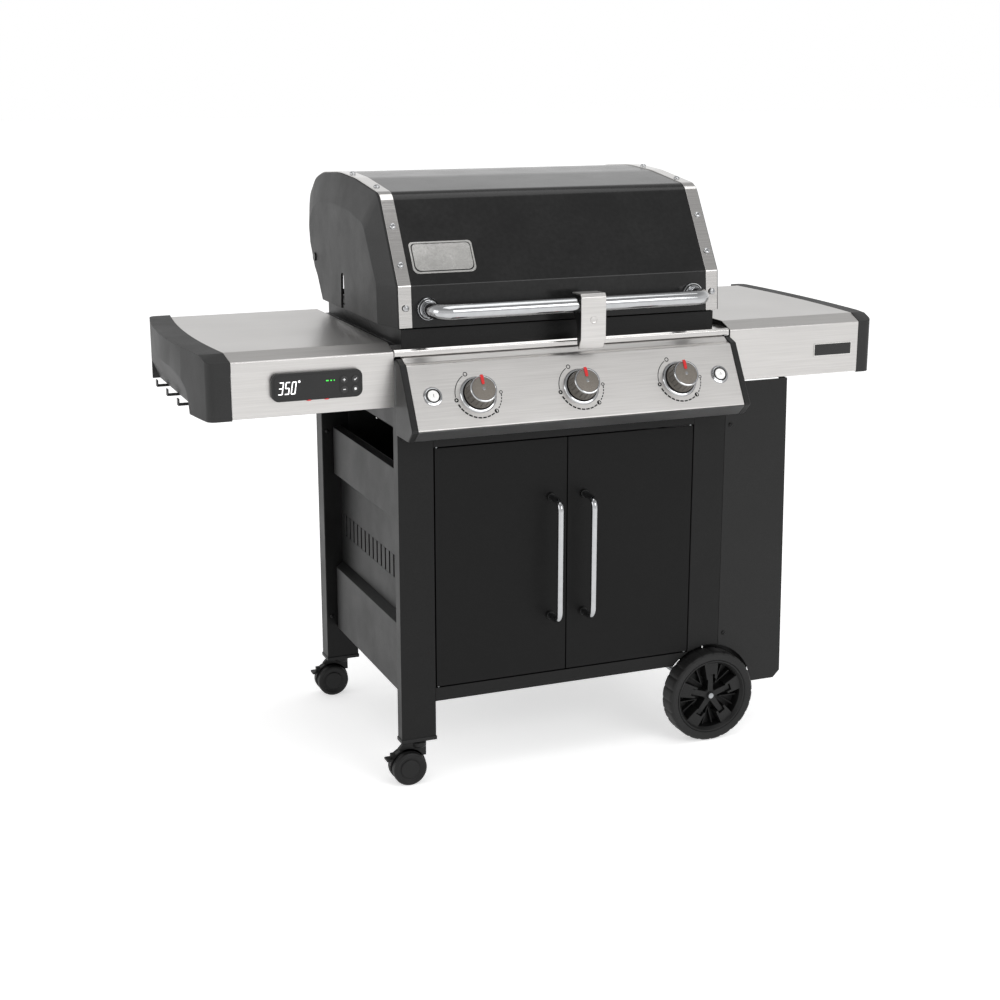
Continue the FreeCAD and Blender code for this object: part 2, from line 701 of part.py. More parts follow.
def table_cap(label, sign):
    """Moulded end cap with a bowed outer side, hollow underneath."""
    outer, bow, inner = (("cap_left", "cap_bow_left", "table_left") if sign == "-1" else
                         ("cap_right", "cap_bow_right", "table_right"))
    body = new_body()
    steps = 8

    def bowed(shrink):
        side = [("%s * (%s + sheet)" % (sign, inner) if shrink == "0" else
                 "%s * (%s + 4)" % (sign, inner), "-table_front + %s" % shrink)]
        for i in range(steps + 1):
            share = i / steps
            rise = 4 * share * (1 - share)
            y = "(-table_front + %s) + %.4f * (table_front + cap_back - 2 * %s)" % (
                shrink, share, shrink)
            side.append(("%s * (%s + %.4f * %s - %s)" % (sign, outer, rise, bow, shrink), y))
        side.append((side[0][0], "cap_back - %s" % shrink))
        return side

    low = "table_low - 1"
    add_pad(body, "XY_Plane", low, "table_top - table_low + 1", [bowed("0")])
    add_pocket(body, "XY_Plane", "table_low - 2", "table_top - table_low - 2", [bowed("3")])
    if sign == "-1":
        scoop = [("-scoop_out - 12", "scoop_top"), ("-scoop_out", "scoop_top"), ("-scoop_in", low),
                 ("-scoop_in", low + " - 2"), ("-scoop_out - 12", low + " - 2")]
        wall = [("-scoop_out + 4", "scoop_top"), ("-scoop_out", "scoop_top"), ("-scoop_in", low),
                ("-scoop_in + 4", low)]
        span = "scoop_front + scoop_rear"
        add_pocket(body, "XZ_Plane", "-scoop_rear", span, [scoop])
        add_pad(body, "XZ_Plane", "-scoop_rear", span, [wall])
    keep(body, label)


side_pair("table_cap", table_cap)


def table_arms():
    """Steel arms that carry each table from the side rails."""
    arms = []
    for y in ("-190", "150"):
        for x0, x1 in (("-table_left + 6", "-leg_out"), ("leg_out", "table_right - 6")):
            arms.append(tube_x(x0, x1, y, y + " + 26", "867", "table_top - sheet"))
    return arms


group("table_arms", table_arms())


def tool_hooks():
    """Three flat hooks on the inside of the left cap, with upturned tips."""
    hooks = []
    for i in (-1, 0, 1):
        y = "hook_y + %d * hook_pitch" % i
        profile = [("-hook_in", "hook_low + 28"), ("-hook_in - 3", "hook_low + 28"),
                   ("-hook_in - 3", "hook_low + 3.5"), ("-hook_out + 3", "hook_low + 3.5"),
                   ("-hook_out + 3", "hook_low + 14"), ("-hook_out", "hook_low + 14"),
                   ("-hook_out", "hook_low"), ("-hook_in", "hook_low")]
        body = new_body()
        add_pad(body, "XZ_Plane", flip("%s + 7" % y), "14", [profile])
        hooks.append(body)
    return hooks


group("tool_hooks", tool_hooks())

# ---------------------------------------------------------------- display unit
KEYS = {"plus_key": ("-475", "861"), "minus_key": ("-475", "842"),
        "check_key": ("-453", "861"), "lamp_key": ("-453", "842")}


def display_unit():
    """Rounded housing on the left table's face, with bores for its keys and probe sockets."""
    body = new_body()
    low, high = "unit_low", "unit_high"
    outline = rectangle("-unit_left", "-unit_right", low, high)
    add_pad(body, "XZ_Plane", "table_front", "unit_deep", [outline])
    corners = [("-unit_left", low), ("-unit_left", high), ("-unit_right", low),
               ("-unit_right", high)]
    round_edges(body, "XZ_Plane", corners, "unit_corner")
    bores = [("circle", x, z, "key_rad + key_gap") for x, z in KEYS.values()]
    add_pocket(body, "XZ_Plane", "table_front + unit_deep - 5", "6", bores)
    sockets = [("circle", x, "-table_front - 5.5", "2") for x in ("-544", "-509")]
    add_pocket(body, "XY_Plane", "unit_low - 1", "12", sockets)
    keep(body, "display_unit")


display_unit()
for key, (key_x, key_z) in KEYS.items():
    keep(rod("Y", key_x, "-table_front - unit_deep - 1.5", key_z, "key_rad", "5"), key)

# ================================================================= cookbox
def cookbox():
    """Cast cookbox with a flange all round, a grate ledge, burner holes and two hinge ears."""
    body = new_body()
    side, front, back = "box_side", "-box_front", "box_back"
    add_pad(body, "XY_Plane", "box_low", "box_rim - box_low",
            [rectangle("-" + side, side, front, back)])
    add_pad(body, "XY_Plane", "flange_z", "flange_thick",
            [rectangle("-flange_side", "flange_side", "-flange_front", "box_back + 6")])
    add_pad(body, "XY_Plane", "flange_z + 1", "collar_top - flange_z - 1",
            [rectangle("-collar_side", "collar_side", "-collar_front", "-box_front + 1")])
    for x0, x1 in (("-collar_side", "-box_side + 1"), ("box_side - 1", "collar_side")):
        add_pad(body, "XY_Plane", "flange_z + 1", "collar_top - flange_z - 1",
                [rectangle(x0, x1, "-box_front", "box_back - 8")])
    ear = [("hinge_y - 25", "box_rim - 20"), ("hinge_y - 25", "hinge_z + 8"),
           ("hinge_y - 12", "hinge_z + 18"), ("hinge_y + 12", "hinge_z + 18"),
           ("hinge_y + 20", "hinge_z + 8"), ("hinge_y + 20", "hinge_z - 20"),
           ("box_back", "box_rim - 6"), ("box_back", "box_rim - 20")]
    for start in ("-box_side", "box_side - 8"):
        add_pad(body, "YZ_Plane", start, "8", [ear])
    wall = "box_wall"
    add_pocket(body, "XY_Plane", "grate_z", "box_rim - grate_z + 1",
               [rectangle("-box_side + 4 + %s" % wall, "box_side - 4 - %s" % wall,
                          "-box_front + %s" % wall, "box_back - %s" % wall)])
    add_pocket(body, "XY_Plane", "box_low + 6", "grate_z - box_low - 5",
               [rectangle("-box_side + 16", "box_side - 16", "-box_front + 12", "box_back - 12")])
    add_pocket(body, "XY_Plane", "box_low - 1", "8", [rectangle("-180", "180", "-60", "90")])
    add_pocket(body, "XY_Plane", "flange_z - 1", "collar_top - box_wall - flange_z + 1",
               [rectangle("-collar_side + box_wall", "collar_side - box_wall",
                          "-collar_front + box_wall", "-box_front - 1")])
    holes = [("circle", x, "burner_z", "burner_rad + 0.5")
             for x in ("-burner_x", "0", "burner_x")]
    add_pocket(body, "XZ_Plane", "box_front - 13", "14", holes)
    add_pocket(body, "YZ_Plane", "-box_side - 1", "2 * box_side + 2",
               [("circle", "hinge_y", "hinge_z", "hinge_rad + running_gap")])
    keep(body, "cookbox")


cookbox()


def grate(label, sign):
    """Cast grate: parallel bars in a frame."""
    outer = rectangle("%s * 1" % sign, "%s * (box_side - 4 - box_wall - 1)" % sign,
                      "-box_front + box_wall + 1", "box_back - box_wall - 1")
    slots = []
    for i in range(17):
        x0 = "%s * (10 + %d * 18.5)" % (sign, i)
        x1 = "%s * (20 + %d * 18.5)" % (sign, i)
        for y0, y1 in (("-box_front + 18", "3"), ("13", "box_back - 18")):
            slots.append(rectangle(x0, x1, y0, y1))
    prism(label, "XY_Plane", "grate_z", "grate_thick", [outer] + slots)


side_pair("grate", grate)


def heat_plates():
    """Roof-shaped steel bars that cover the burners."""
    plates = []
    for i in range(-2, 3):
        x = "%d * 118" % i
        roof = [("%s - 40" % x, "858"), (x, "898"), ("%s + 40" % x, "858"),
                ("%s + 38" % x, "858"), (x, "895.8"), ("%s - 38" % x, "858")]
        body = new_body()
        add_pad(body, "XZ_Plane", "-box_back + 12", "box_back + box_front - 24", [roof])
        plates.append(body)
    return plates


group("heat_plates", heat_plates())
group("burners", [less(rod("Y", x, "-box_front - 46", "burner_z", "burner_rad",
                           "box_front + box_back + 16"),
                       rod("Y", x, "-box_front - 47", "burner_z", "burner_rad - 1.5",
                           "box_front + box_back + 15"))
                  for x in ("-burner_x", "0", "burner_x")])

# Direction of the control face: it leans back, and its normal points forward and up.
face_rise = size("face_top_z - face_low_z")
face_run = size("face_low_y - face_top_y")
lean = math.degrees(math.atan2(face_run, face_rise))


def face_y(z):
    """Y of the control face at a height."""
    return "-face_top_y - (face_top_z - (%s)) * (face_low_y - face_top_y) / " \
           "(face_top_z - face_low_z)" % z


def on_face(thing, x, z):
    """Place a turned piece on the control face, its own +Z along the face's normal."""
    return place(thing, x, face_y(z), z, (1, 0, 0), 90 - lean)


def gas_train():
    """Manifold tube with three valve bodies that stand square to the control face.
    A drop at its right end carries the inlet stub, which points at the bottle beside it."""
    y, z, radius = "-manifold_y", "manifold_z", "manifold_rad"
    tube = rod("X", "-leg_in + 8", y, z, radius, "2 * leg_in - 16")
    back = block("inlet_x - 24", "inlet_x - 8", y, "-inlet_y + 10", z + " - 8", z + " + 7")
    drop = block("inlet_x - 24", "inlet_x - 8", "-inlet_y - 8", "-inlet_y + 10", "inlet_z - 11",
                 z + " - 7")
    collar = rod("X", "inlet_x - 9", "-inlet_y", "inlet_z", "10.5", "9")
    inlet = rod("X", "inlet_x", "-inlet_y", "inlet_z", "inlet_rad", "inlet_long")
    parts = [tube, back, drop, collar, inlet]
    for x in ("-burner_x", "0", "burner_x"):
        valve = doc.addObject("Part::Cylinder", "Valve")
        valve.Radius = 11
        valve.Height = 50
        inward = FreeCAD.Vector(0, math.cos(math.radians(lean)), -math.sin(math.radians(lean)))
        centre = FreeCAD.Vector(size(x), size(face_y("dial_z")), size("dial_z"))
        valve.Placement = FreeCAD.Placement(centre + inward * 26, FreeCAD.Rotation(
            FreeCAD.Vector(0, 0, 1), inward))
        parts.append(valve)
    return joined(parts)


keep(gas_train(), "gas_manifold")


def warming_rack():
    """Rack bars, cross bars and legs joined to one welded piece."""
    parts = []
    for i in range(6):
        y = "60 + %d * 24" % i
        parts.append(block("-325", "325", y, y + " + 5", "1010", "1015"))
    for x in ("-325", "-2", "320"):
        parts.append(block(x, x + " + 5", "60", "185", "1006", "1011"))
    for x in ("-325", "320"):
        for y in ("66", "176"):
            parts.append(block(x, x + " + 5", y, y + " + 5", "grate_z + grate_thick", "1008"))
    return joined(parts)


keep(warming_rack(), "warming_rack")


def grease_tray():
    """Sloped catch tray that slides out to the rear on the cabinet's rails."""
    body = new_body()
    add_pad(body, "XY_Plane", "666", "50", [rectangle("-230", "230", "-200", "240")])
    add_pocket(body, "XY_Plane", "667.5", "50", [rectangle("-228.5", "228.5", "-198.5", "238.5")])
    keep(body, "grease_tray")


grease_tray()

# ================================================================= control panel
def control_panel():
    """Stainless fascia: a lip, a short cove and the leaning face with its bores."""
    body = new_body()
    skin = [("-flange_front - sheet", "lip_top"), ("-lip_y", "lip_top"), ("-lip_y", "lip_low"),
            ("-face_top_y", "face_top_z"), ("-face_low_y", "face_low_z"),
            ("-face_low_y + 2.2", "face_low_z"), ("-face_top_y + 1.6", "face_top_z - 1.6"),
            ("-lip_y + sheet", "lip_low - sheet")]
    add_pad(body, "YZ_Plane", "-panel_half", "2 * panel_half", [skin])
    lip = rectangle("-lip_y", "-lip_y + sheet", "lip_low", "lip_top")
    add_pad(body, "YZ_Plane", "-table_in + 2", "2 * table_in - 4", [lip])
    tools = [rod("Z", "0", "0", "0", "5.5", "60") for i in range(3)]
    spots = [("-burner_x", "dial_z"), ("0", "dial_z"), ("burner_x", "dial_z")]
    tools += [rod("Z", "0", "0", "0", "push_rad + key_gap", "60") for i in range(2)]
    spots += [("-push_x", "push_z"), ("push_x", "push_z")]
    for tool, (x, z) in zip(tools, spots):
        for path in (".Placement.Base.x", ".Placement.Base.y", ".Placement.Base.z"):
            tool.setExpression(path, None)
        on_face(tool, x, z)
        tool.Placement.Base = tool.Placement.Base - normal * 30
    keep(less(body, joined(tools)), "control_panel")


normal = FreeCAD.Vector(0, -math.cos(math.radians(lean)), math.sin(math.radians(lean)))
control_panel()


def panel_end(sign):
    """Cast bracket that closes the end of the panel and carries it on the leg."""
    outline = [("-cart_half", "trim_z - 2"), ("-cart_half", "lip_low - 2"),
               ("-face_top_y - 1", "face_top_z + 1"), ("-face_low_y - 2", "face_low_z"),
               ("-trim_y", "trim_z - 2")]
    body = new_body()
    start = "-panel_half - 13" if sign == "-1" else "panel_half"
    add_pad(body, "YZ_Plane", start, "13", [outline])
    return body


group("panel_ends", [panel_end("-1"), panel_end("1")])
prism("panel_trim", "YZ_Plane", "-panel_half", "2 * panel_half",
      [[("-face_low_y", "face_low_z - 0.3"), ("-trim_y", "trim_z"), ("-trim_y + 24", "trim_z"),
        ("-trim_y + 24", "trim_z + 3"), ("-trim_y + 3", "trim_z + 3"),
        ("-face_low_y + 6", "face_low_z - 0.3")]])


def knob(label, x):
    """Turned knob with a gripping skirt and a stem that enters the valve."""
    profile = [("0", "-26"), ("4", "-26"), ("4", "1.5"), ("knob_rad", "1.5"),
               ("knob_rad", "9"), ("knob_rad - 3", "11"), ("knob_rad - 4", "knob_deep - 3"),
               ("knob_rad - 6", "knob_deep"), ("0", "knob_deep")]
    body = turned(label, profile)
    mark = rectangle("-2", "2", "knob_rad - 15", "knob_rad - 7")
    add_pad(body, "XY_Plane", "knob_deep - 1", "2", [mark])
    on_face(body, x, "dial_z")


for knob_name, knob_x in (("left_knob", "-burner_x"), ("middle_knob", "0"),
                          ("right_knob", "burner_x")):
    knob(knob_name, knob_x)


def push_button(label, sign):
    profile = [("0", "-9"), ("push_rad", "-9"), ("push_rad", "4"), ("push_rad - 1.5", "5.5"),
               ("0", "5.5")]
    on_face(turned(label, profile), "%s * push_x" % sign, "push_z")


side_pair("push_button", push_button)

# ================================================================= lid
LID_OUTLINE = [("-lid_front", "lid_low"), ("-crease_y", "crease_z"), ("-brow_y - 9", "brow_z - 15"),
               ("-brow_y + 12", "brow_z + 3"), ("0", "crown_z - 6"), ("crown_y", "crown_z"),
               ("nape_y - 50", "nape_z + 8"), ("nape_y", "nape_z - 6"),
               ("back_y - 12", "back_z + 30"), ("back_y", "back_z"), ("tail_y", "tail_z")]


def lid_panel():
    """Enamelled sheet bent over the lid from the front edge to the rear vent."""
    inner = offset_points(LID_OUTLINE, "-lid_wall")
    prism("lid_panel", "YZ_Plane", "-lid_half", "2 * lid_half", [LID_OUTLINE + inner[::-1]])


lid_panel()


def lid_end(label, sign):
    """End casting: a plate on the lid's outline whose outer face is raised inside a border."""
    body = new_body()
    hinge = [("hinge_y + 26", "hinge_z - 28"), ("hinge_y - 4", "hinge_z - 46"),
             ("hinge_y - 40", "lid_low")]
    outline = LID_OUTLINE + hinge
    start = "-lid_edge" if sign == "-1" else "lid_half"
    add_pad(body, "YZ_Plane", start, "lid_edge - lid_half", [outline])
    raised = [("-lid_front + 1", "lid_low"), ("-crease_y + 1", "crease_z"),
              ("-brow_y - 8", "brow_z - 15"), ("-brow_y + 12", "brow_z + 2"),
              ("0", "crown_z - 7"), ("crown_y", "crown_z - 1"), ("nape_y - 50", "nape_z + 7"),
              ("nape_y - 1", "nape_z - 7"), ("back_y - 13", "back_z + 29"),
              ("back_y - 1", "back_z"), ("tail_y - 1", "tail_z"),
              ("hinge_y + 25", "hinge_z - 28"), ("hinge_y - 4", "hinge_z - 45"),
              ("hinge_y - 40", "lid_low")]
    top = [("-lid_front + inset * 1.1", "lid_low"), ("-crease_y + inset", "crease_z"),
           ("-brow_y + inset * 0.5", "brow_z - inset"), ("-brow_y + inset", "brow_z - inset * 0.9"),
           ("10", "crown_z - inset * 1.1"), ("crown_y", "crown_z - inset"),
           ("nape_y - 50 - inset * 0.2", "nape_z + 7 - inset"),
           ("nape_y - inset * 0.6", "nape_z - inset"), ("back_y - inset", "back_z + inset * 0.2"),
           ("back_y - inset + 1", "back_z - 6"), ("tail_y - inset * 0.7", "tail_z"),
           ("hinge_y + 19", "hinge_z - 20"), ("hinge_y - 6", "hinge_z - 38"),
           ("hinge_y - 44", "lid_low")]
    base = "-lid_edge" if sign == "-1" else "lid_edge"
    far = "-lid_side" if sign == "-1" else "lid_side"
    low, high = sketch_on(body, "YZ_Plane", base), sketch_on(body, "YZ_Plane", far)
    add_loop(low, raised)
    add_loop(high, top)
    loft = body.newObject("PartDesign::AdditiveLoft", "Loft")
    loft.Profile = low
    loft.Sections = [high]
    loft.Ruled = True
    doc.recompute()
    hollow = [("-lid_front + inset * 1.2", "lid_low - 1"), ("-crease_y + inset * 1.1", "crease_z"),
              ("-brow_y + inset", "brow_z - inset * 1.2"), ("crown_y", "crown_z - inset * 1.3"),
              ("nape_y - inset", "nape_z - inset * 1.3"), ("hinge_y - 26", "hinge_z + 40"),
              ("hinge_y - 26", "hinge_z - 20"), ("hinge_y - 60", "lid_low - 1")]
    depth = "lid_side - lid_half - 5"
    begin = "-lid_side + 5" if sign == "-1" else "lid_half"
    add_pocket(body, "YZ_Plane", begin, depth, [hollow])
    notch = rectangle("spit_y - spit_half", "spit_y + spit_half", "lid_low - 1", "spit_top")
    outer = "-lid_side - 1" if sign == "-1" else "lid_half - 1"
    reach = "lid_side - lid_half + 2"
    add_pocket(body, "YZ_Plane", outer, reach, [notch])
    add_pocket(body, "YZ_Plane", outer, reach, [("circle", "hinge_y", "hinge_z", "hinge_rad")])
    keep(body, label)


for lid_name, lid_sign in (("lid_left_end", "-1"), ("lid_right_end", "1")):
    lid_end(lid_name, lid_sign)


def lid_band(sign):
    """Trim strip over the joint between the lid panel and an end casting."""
    under = LID_OUTLINE[:8]
    over = offset_points(under, "band_thick")
    body = new_body()
    start = "-lid_edge" if sign == "-1" else "band_in"
    add_pad(body, "YZ_Plane", start, "lid_edge - band_in", [under + over[::-1]])
    return body


group("lid_trim_bands", [lid_band("-1"), lid_band("1")])


def lid_bolts():
    """Domed bolts through the trim bands; places are (y, z, tilt of the surface)."""
    spots = [(-267, 985, 88), (-238.5, 1066, 58), (-194, 1137, 58), (-97, 1206.5, 8),
             (62, 1223.5, 3)]
    bolts = []
    for side in (-1, 1):
        for y, z, tilt in spots:
            bolt = doc.addObject("Part::Cylinder", "Bolt")
            bolt.Radius = 5
            bolt.Height = 4
            bolt.Placement = FreeCAD.Placement(
                FreeCAD.Vector(side * 337, y, z), FreeCAD.Rotation(FreeCAD.Vector(1, 0, 0), tilt))
            bolts.append(bolt)
    return bolts


group("lid_bolts", lid_bolts())


def hinge_pin(sign):
    """Shouldered pin: a head outside the casting and a shank through the cookbox ear."""
    outer = "-lid_side - 3" if sign == "-1" else "lid_side"
    head = rod("X", outer, "hinge_y", "hinge_z", "9", "3")
    shank_from = "-lid_side" if sign == "-1" else "box_side - 10"
    shank = rod("X", shank_from, "hinge_y", "hinge_z", "hinge_rad", "lid_side - box_side + 10")
    return joined([head, shank])


group("lid_hinge_pins", [hinge_pin("-1"), hinge_pin("1")])


def lid_handle():
    """Bent tube across the lid's front, running into a base at each end."""
    y, z, x = -size("bar_y"), size("bar_z"), size("bar_x")
    foot = -size("lid_front") - 8
    path = [(-x, foot, z), (-x, y, z), (x, y, z), (x, foot, z)]
    tube = bent_rod(path, size("bar_rad"), size("bar_bend"))
    bore = bent_rod(path, size("bar_rad - 2"), size("bar_bend"))
    keep(less(tube, bore), "lid_handle")


lid_handle()
group("handle_bases", [rod("Y", x, "-lid_front - 8", "bar_z", "bar_rad + 5", "8")
                       for x in ("-bar_x", "bar_x")])


def handle_light():
    """Lamp housing clamped round the handle bar, hanging below it."""
    outline = [("-bar_y - 22", "bar_z - 72"), ("-bar_y - 22", "bar_z + 18"),
               ("-bar_y - 14", "bar_z + 23"), ("-bar_y + 20", "bar_z + 23"),
               ("-bar_y + 24", "bar_z + 10"), ("-bar_y + 24", "bar_z - 18"),
               ("-bar_y + 4", "bar_z - 40"), ("-bar_y + 2", "bar_z - 86")]
    body = new_body()
    add_pad(body, "YZ_Plane", "-1", "55", [outline])
    add_pocket(body, "YZ_Plane", "-2", "57", [("circle", "-bar_y", "bar_z", "bar_rad + 0.05")])
    bore = [("circle", "26.5", "bar_z - 28", "8.3")]
    add_pocket(body, "XZ_Plane", "bar_y + 16", "7", bore)
    keep(body, "handle_light")


handle_light()
keep(rod("Y", "26.5", "-bar_y - 23.5", "bar_z - 28", "8", "5.5"), "light_button")

# ================================================================= wheels and casters
group("wheel_axle", [rod("Y", "wheel_x", "-wheel_out + 6", "wheel_rad", "axle_rad",
                         "2 * wheel_out - 12")])


def wheel(label, face):
    """Moulded wheel: tyre, web with five openings, and a hub."""
    wide = "wheel_wide"
    profile = [("axle_rad + running_gap", "4"), ("22", "4"), ("26", "14"), ("78", "14"),
               ("82", "2"), ("wheel_rad - 6", "0"), ("wheel_rad", "5"),
               ("wheel_rad", wide + " - 5"), ("wheel_rad - 6", wide), ("82", wide + " - 2"),
               ("78", "24"), ("26", "24"), ("22", wide), ("axle_rad + running_gap", wide)]
    body = turned(label, profile)
    opening = [("-11", "34"), ("11", "34"), ("26", "72"), ("-26", "72")]
    sketch = sketch_on(body, "XY_Plane", "10")
    add_loop(sketch, opening)
    pocket = body.newObject("PartDesign::Pocket", "Opening")
    pocket.Profile = sketch
    pocket.Reversed = True
    pocket.Length = 20
    doc.recompute()
    pattern = body.newObject("PartDesign::PolarPattern", "Openings")
    pattern.Originals = [pocket]
    pattern.Axis = (sketch, ["N_Axis"])
    pattern.Angle = 360
    pattern.Occurrences = 5
    body.Tip = pattern
    doc.recompute()
    if face == FRONT:
        place(body, "wheel_x", "-wheel_out", "wheel_rad", (1, 0, 0), -90)
    else:
        place(body, "wheel_x", "wheel_out", "wheel_rad", (1, 0, 0), 90)


wheel("front_wheel", FRONT)
wheel("rear_wheel", BACK)


def caster(name, face):
    """Twin-wheel caster: a swivelling housing, its wheels and a foot-worked brake tab."""
    y = "%s * caster_y" % face
    x, trail = "-caster_x", "-caster_x - caster_trail"
    web = "5"
    outline = [("-caster_x + 12", "leg_base - 2"), (trail + " - 16", "leg_base - 8"),
               (trail + " - 27", "caster_rad + 34"), (trail + " - 14", "caster_rad + 8"),
               (trail + " - 9", "caster_rad - 10"), (trail + " + 9", "caster_rad - 10"),
               (trail + " + 22", "caster_rad + 18"), ("-caster_x + 12", "caster_rad + 22")]
    body = new_body()
    add_pad(body, "XZ_Plane", flip(y) + " - " + web, "2 * " + web, [outline])
    add_pocket(body, "XZ_Plane", flip(y) + " - " + web + " - 1", "2 * " + web + " + 2",
               [("circle", trail, "caster_rad", "4 + running_gap")])
    stem = add_pad(body, "XY_Plane", "caster_rad + 40", "leg_base - caster_rad - 40 + 26",
                   [("circle", x, y, "caster_stem")])
    stem.Refine = True
    keep(body, name + "_caster_fork")
    wheels = []
    outer = ("%s - 6 - caster_wide" % y, "%s + 6" % y)
    for begin in outer:
        wheels.append(rod("Y", trail, begin, "caster_rad", "caster_rad", "caster_wide"))
    axle = rod("Y", trail, "%s - 8" % y, "caster_rad", "4", "16")
    keep(joined(wheels + [axle]), name + "_caster_wheels")
    pedal = block(trail + " - 47", trail + " - 34", "%s - 11" % y, "%s + 11" % y,
                  "caster_rad + 18", "caster_rad + 23")
    arm = block(trail + " - 36", trail + " - 27.3", "%s - 4.5" % y, "%s + 4.5" % y,
                "caster_rad + 19", "caster_rad + 33")
    keep(joined([pedal, arm]), name + "_caster_brake")


caster("front", FRONT)
caster("rear", BACK)

# ================================================================= check and write
doc.recompute()
for thing in doc.Objects:
    if "Invalid" in thing.State or "Error" in thing.State:
        raise RuntimeError("%s (%s) failed: %s" % (thing.Name, thing.Label, thing.State))
for label, thing in nodes.items():
    if thing.Shape.isNull() or not thing.Shape.isValid():
        raise RuntimeError("%s has no valid shape" % label)
shift = FreeCAD.Vector(size("frame_x"), size("frame_y"), 0)
outline = FreeCAD.BoundBox()
for label, thing in nodes.items():
    shape = thing.Shape.copy()
    shape.translate(shift)
    shape.exportStep("parts/%s.step" % label)
    outline.add(shape.BoundBox)
print("outline", outline)
print("wrote %d sub-parts" % len(nodes))
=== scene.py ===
import math

import bmesh
import bpy
from mathutils import Matrix, Vector


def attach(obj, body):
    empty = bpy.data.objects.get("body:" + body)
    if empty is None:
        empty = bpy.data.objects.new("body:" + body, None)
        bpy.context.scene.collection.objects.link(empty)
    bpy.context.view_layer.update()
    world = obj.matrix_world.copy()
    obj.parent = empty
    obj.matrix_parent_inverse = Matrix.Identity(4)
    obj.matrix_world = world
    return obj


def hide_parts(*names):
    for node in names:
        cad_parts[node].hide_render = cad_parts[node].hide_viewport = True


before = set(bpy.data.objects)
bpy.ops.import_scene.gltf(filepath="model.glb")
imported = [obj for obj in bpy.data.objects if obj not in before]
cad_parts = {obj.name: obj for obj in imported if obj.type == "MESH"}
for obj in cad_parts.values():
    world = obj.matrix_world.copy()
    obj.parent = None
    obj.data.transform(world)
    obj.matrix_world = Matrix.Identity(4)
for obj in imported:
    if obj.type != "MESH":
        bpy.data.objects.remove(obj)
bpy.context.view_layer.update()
scene = bpy.context.scene

# ---------------------------------------------------------------- camera and studio
# The grill stands on a pale floor. The viewer stands to its left, a little above the lid,
# and a long lens keeps the upright edges of the cabinet nearly parallel.
VIEW_DOWN, VIEW_ACROSS = 14.67, 22.10
lens = bpy.data.cameras.new("viewer")
lens.sensor_width = 36
lens.lens = 60.44
camera = bpy.data.objects.new("viewer", lens)
camera.location = (-1.3744, -3.3136, 1.4503)
camera.rotation_euler = (math.radians(90 - VIEW_DOWN), 0, math.radians(-VIEW_ACROSS))
scene.collection.objects.link(camera)
scene.camera = camera
scene.view_settings.view_transform = "Standard"


def linear(code):
    """Turn an sRGB hex colour into the linear colour that a shader takes."""
    parts = [int(code[i:i + 2], 16) / 255 for i in (1, 3, 5)]
    return [p / 12.92 if p <= 0.04045 else ((p + 0.055) / 1.055) ** 2.4 for p in parts] + [1]


def add(tree, kind, inputs=None, **settings):
    """Add a shader node: settings are its options, inputs are numbers or other nodes' outputs."""
    fresh = tree.nodes.new("ShaderNode" + kind)
    for key, value in settings.items():
        setattr(fresh, key, value)
    for key, value in (inputs or {}).items():
        if isinstance(value, bpy.types.NodeSocket):
            tree.links.new(value, fresh.inputs[key])
        else:
            fresh.inputs[key].default_value = value
    return fresh


def new_finish(name, sockets):
    """Start a material with its uniform values set on the shader's own sockets."""
    finish = bpy.data.materials.new(name)
    finish.use_nodes = True
    shader = finish.node_tree.nodes["Principled BSDF"]
    for label, value in sockets.items():
        shader.inputs[label].default_value = value
    return finish, finish.node_tree, shader


def drive(tree, shader, tone, rough=None, relief=None):
    """Let the pattern drive the shader's colour, gloss and relief."""
    for label, output in (("Base Color", tone), ("Roughness", rough), ("Normal", relief)):
        if output is not None:
            tree.links.new(output, shader.inputs[label])


# Studio floor: a matt white light table with a very faint cloudiness. Its own glow keeps the
# far floor white and the shadows thin.
floor_paint, tree, shader = new_finish("studio_floor_paint", {
    "Roughness": 0.9, "Specular IOR Level": 0.0, "Emission Color": linear("#FFFFFF"),
    "Emission Strength": 0.5})
cloud = add(tree, "TexNoise", {"Scale": 1.5, "Detail": 3})
shade = add(tree, "Mix", {0: cloud.outputs["Fac"], 6: linear("#F2F2F2"), 7: linear("#F7F7F7")},
            data_type="RGBA")
drive(tree, shader, shade.outputs[2])
FLOOR_HALF = 40
ground = bpy.data.meshes.new("studio_floor")
ground.from_pydata([(x * FLOOR_HALF, y * FLOOR_HALF, 0) for x, y in ((-1, -1), (1, -1), (1, 1), (-1, 1))],
                   [], [(0, 1, 2, 3)])
ground.materials.append(floor_paint)
floor = bpy.data.objects.new("studio_floor", ground)
scene.collection.objects.link(floor)

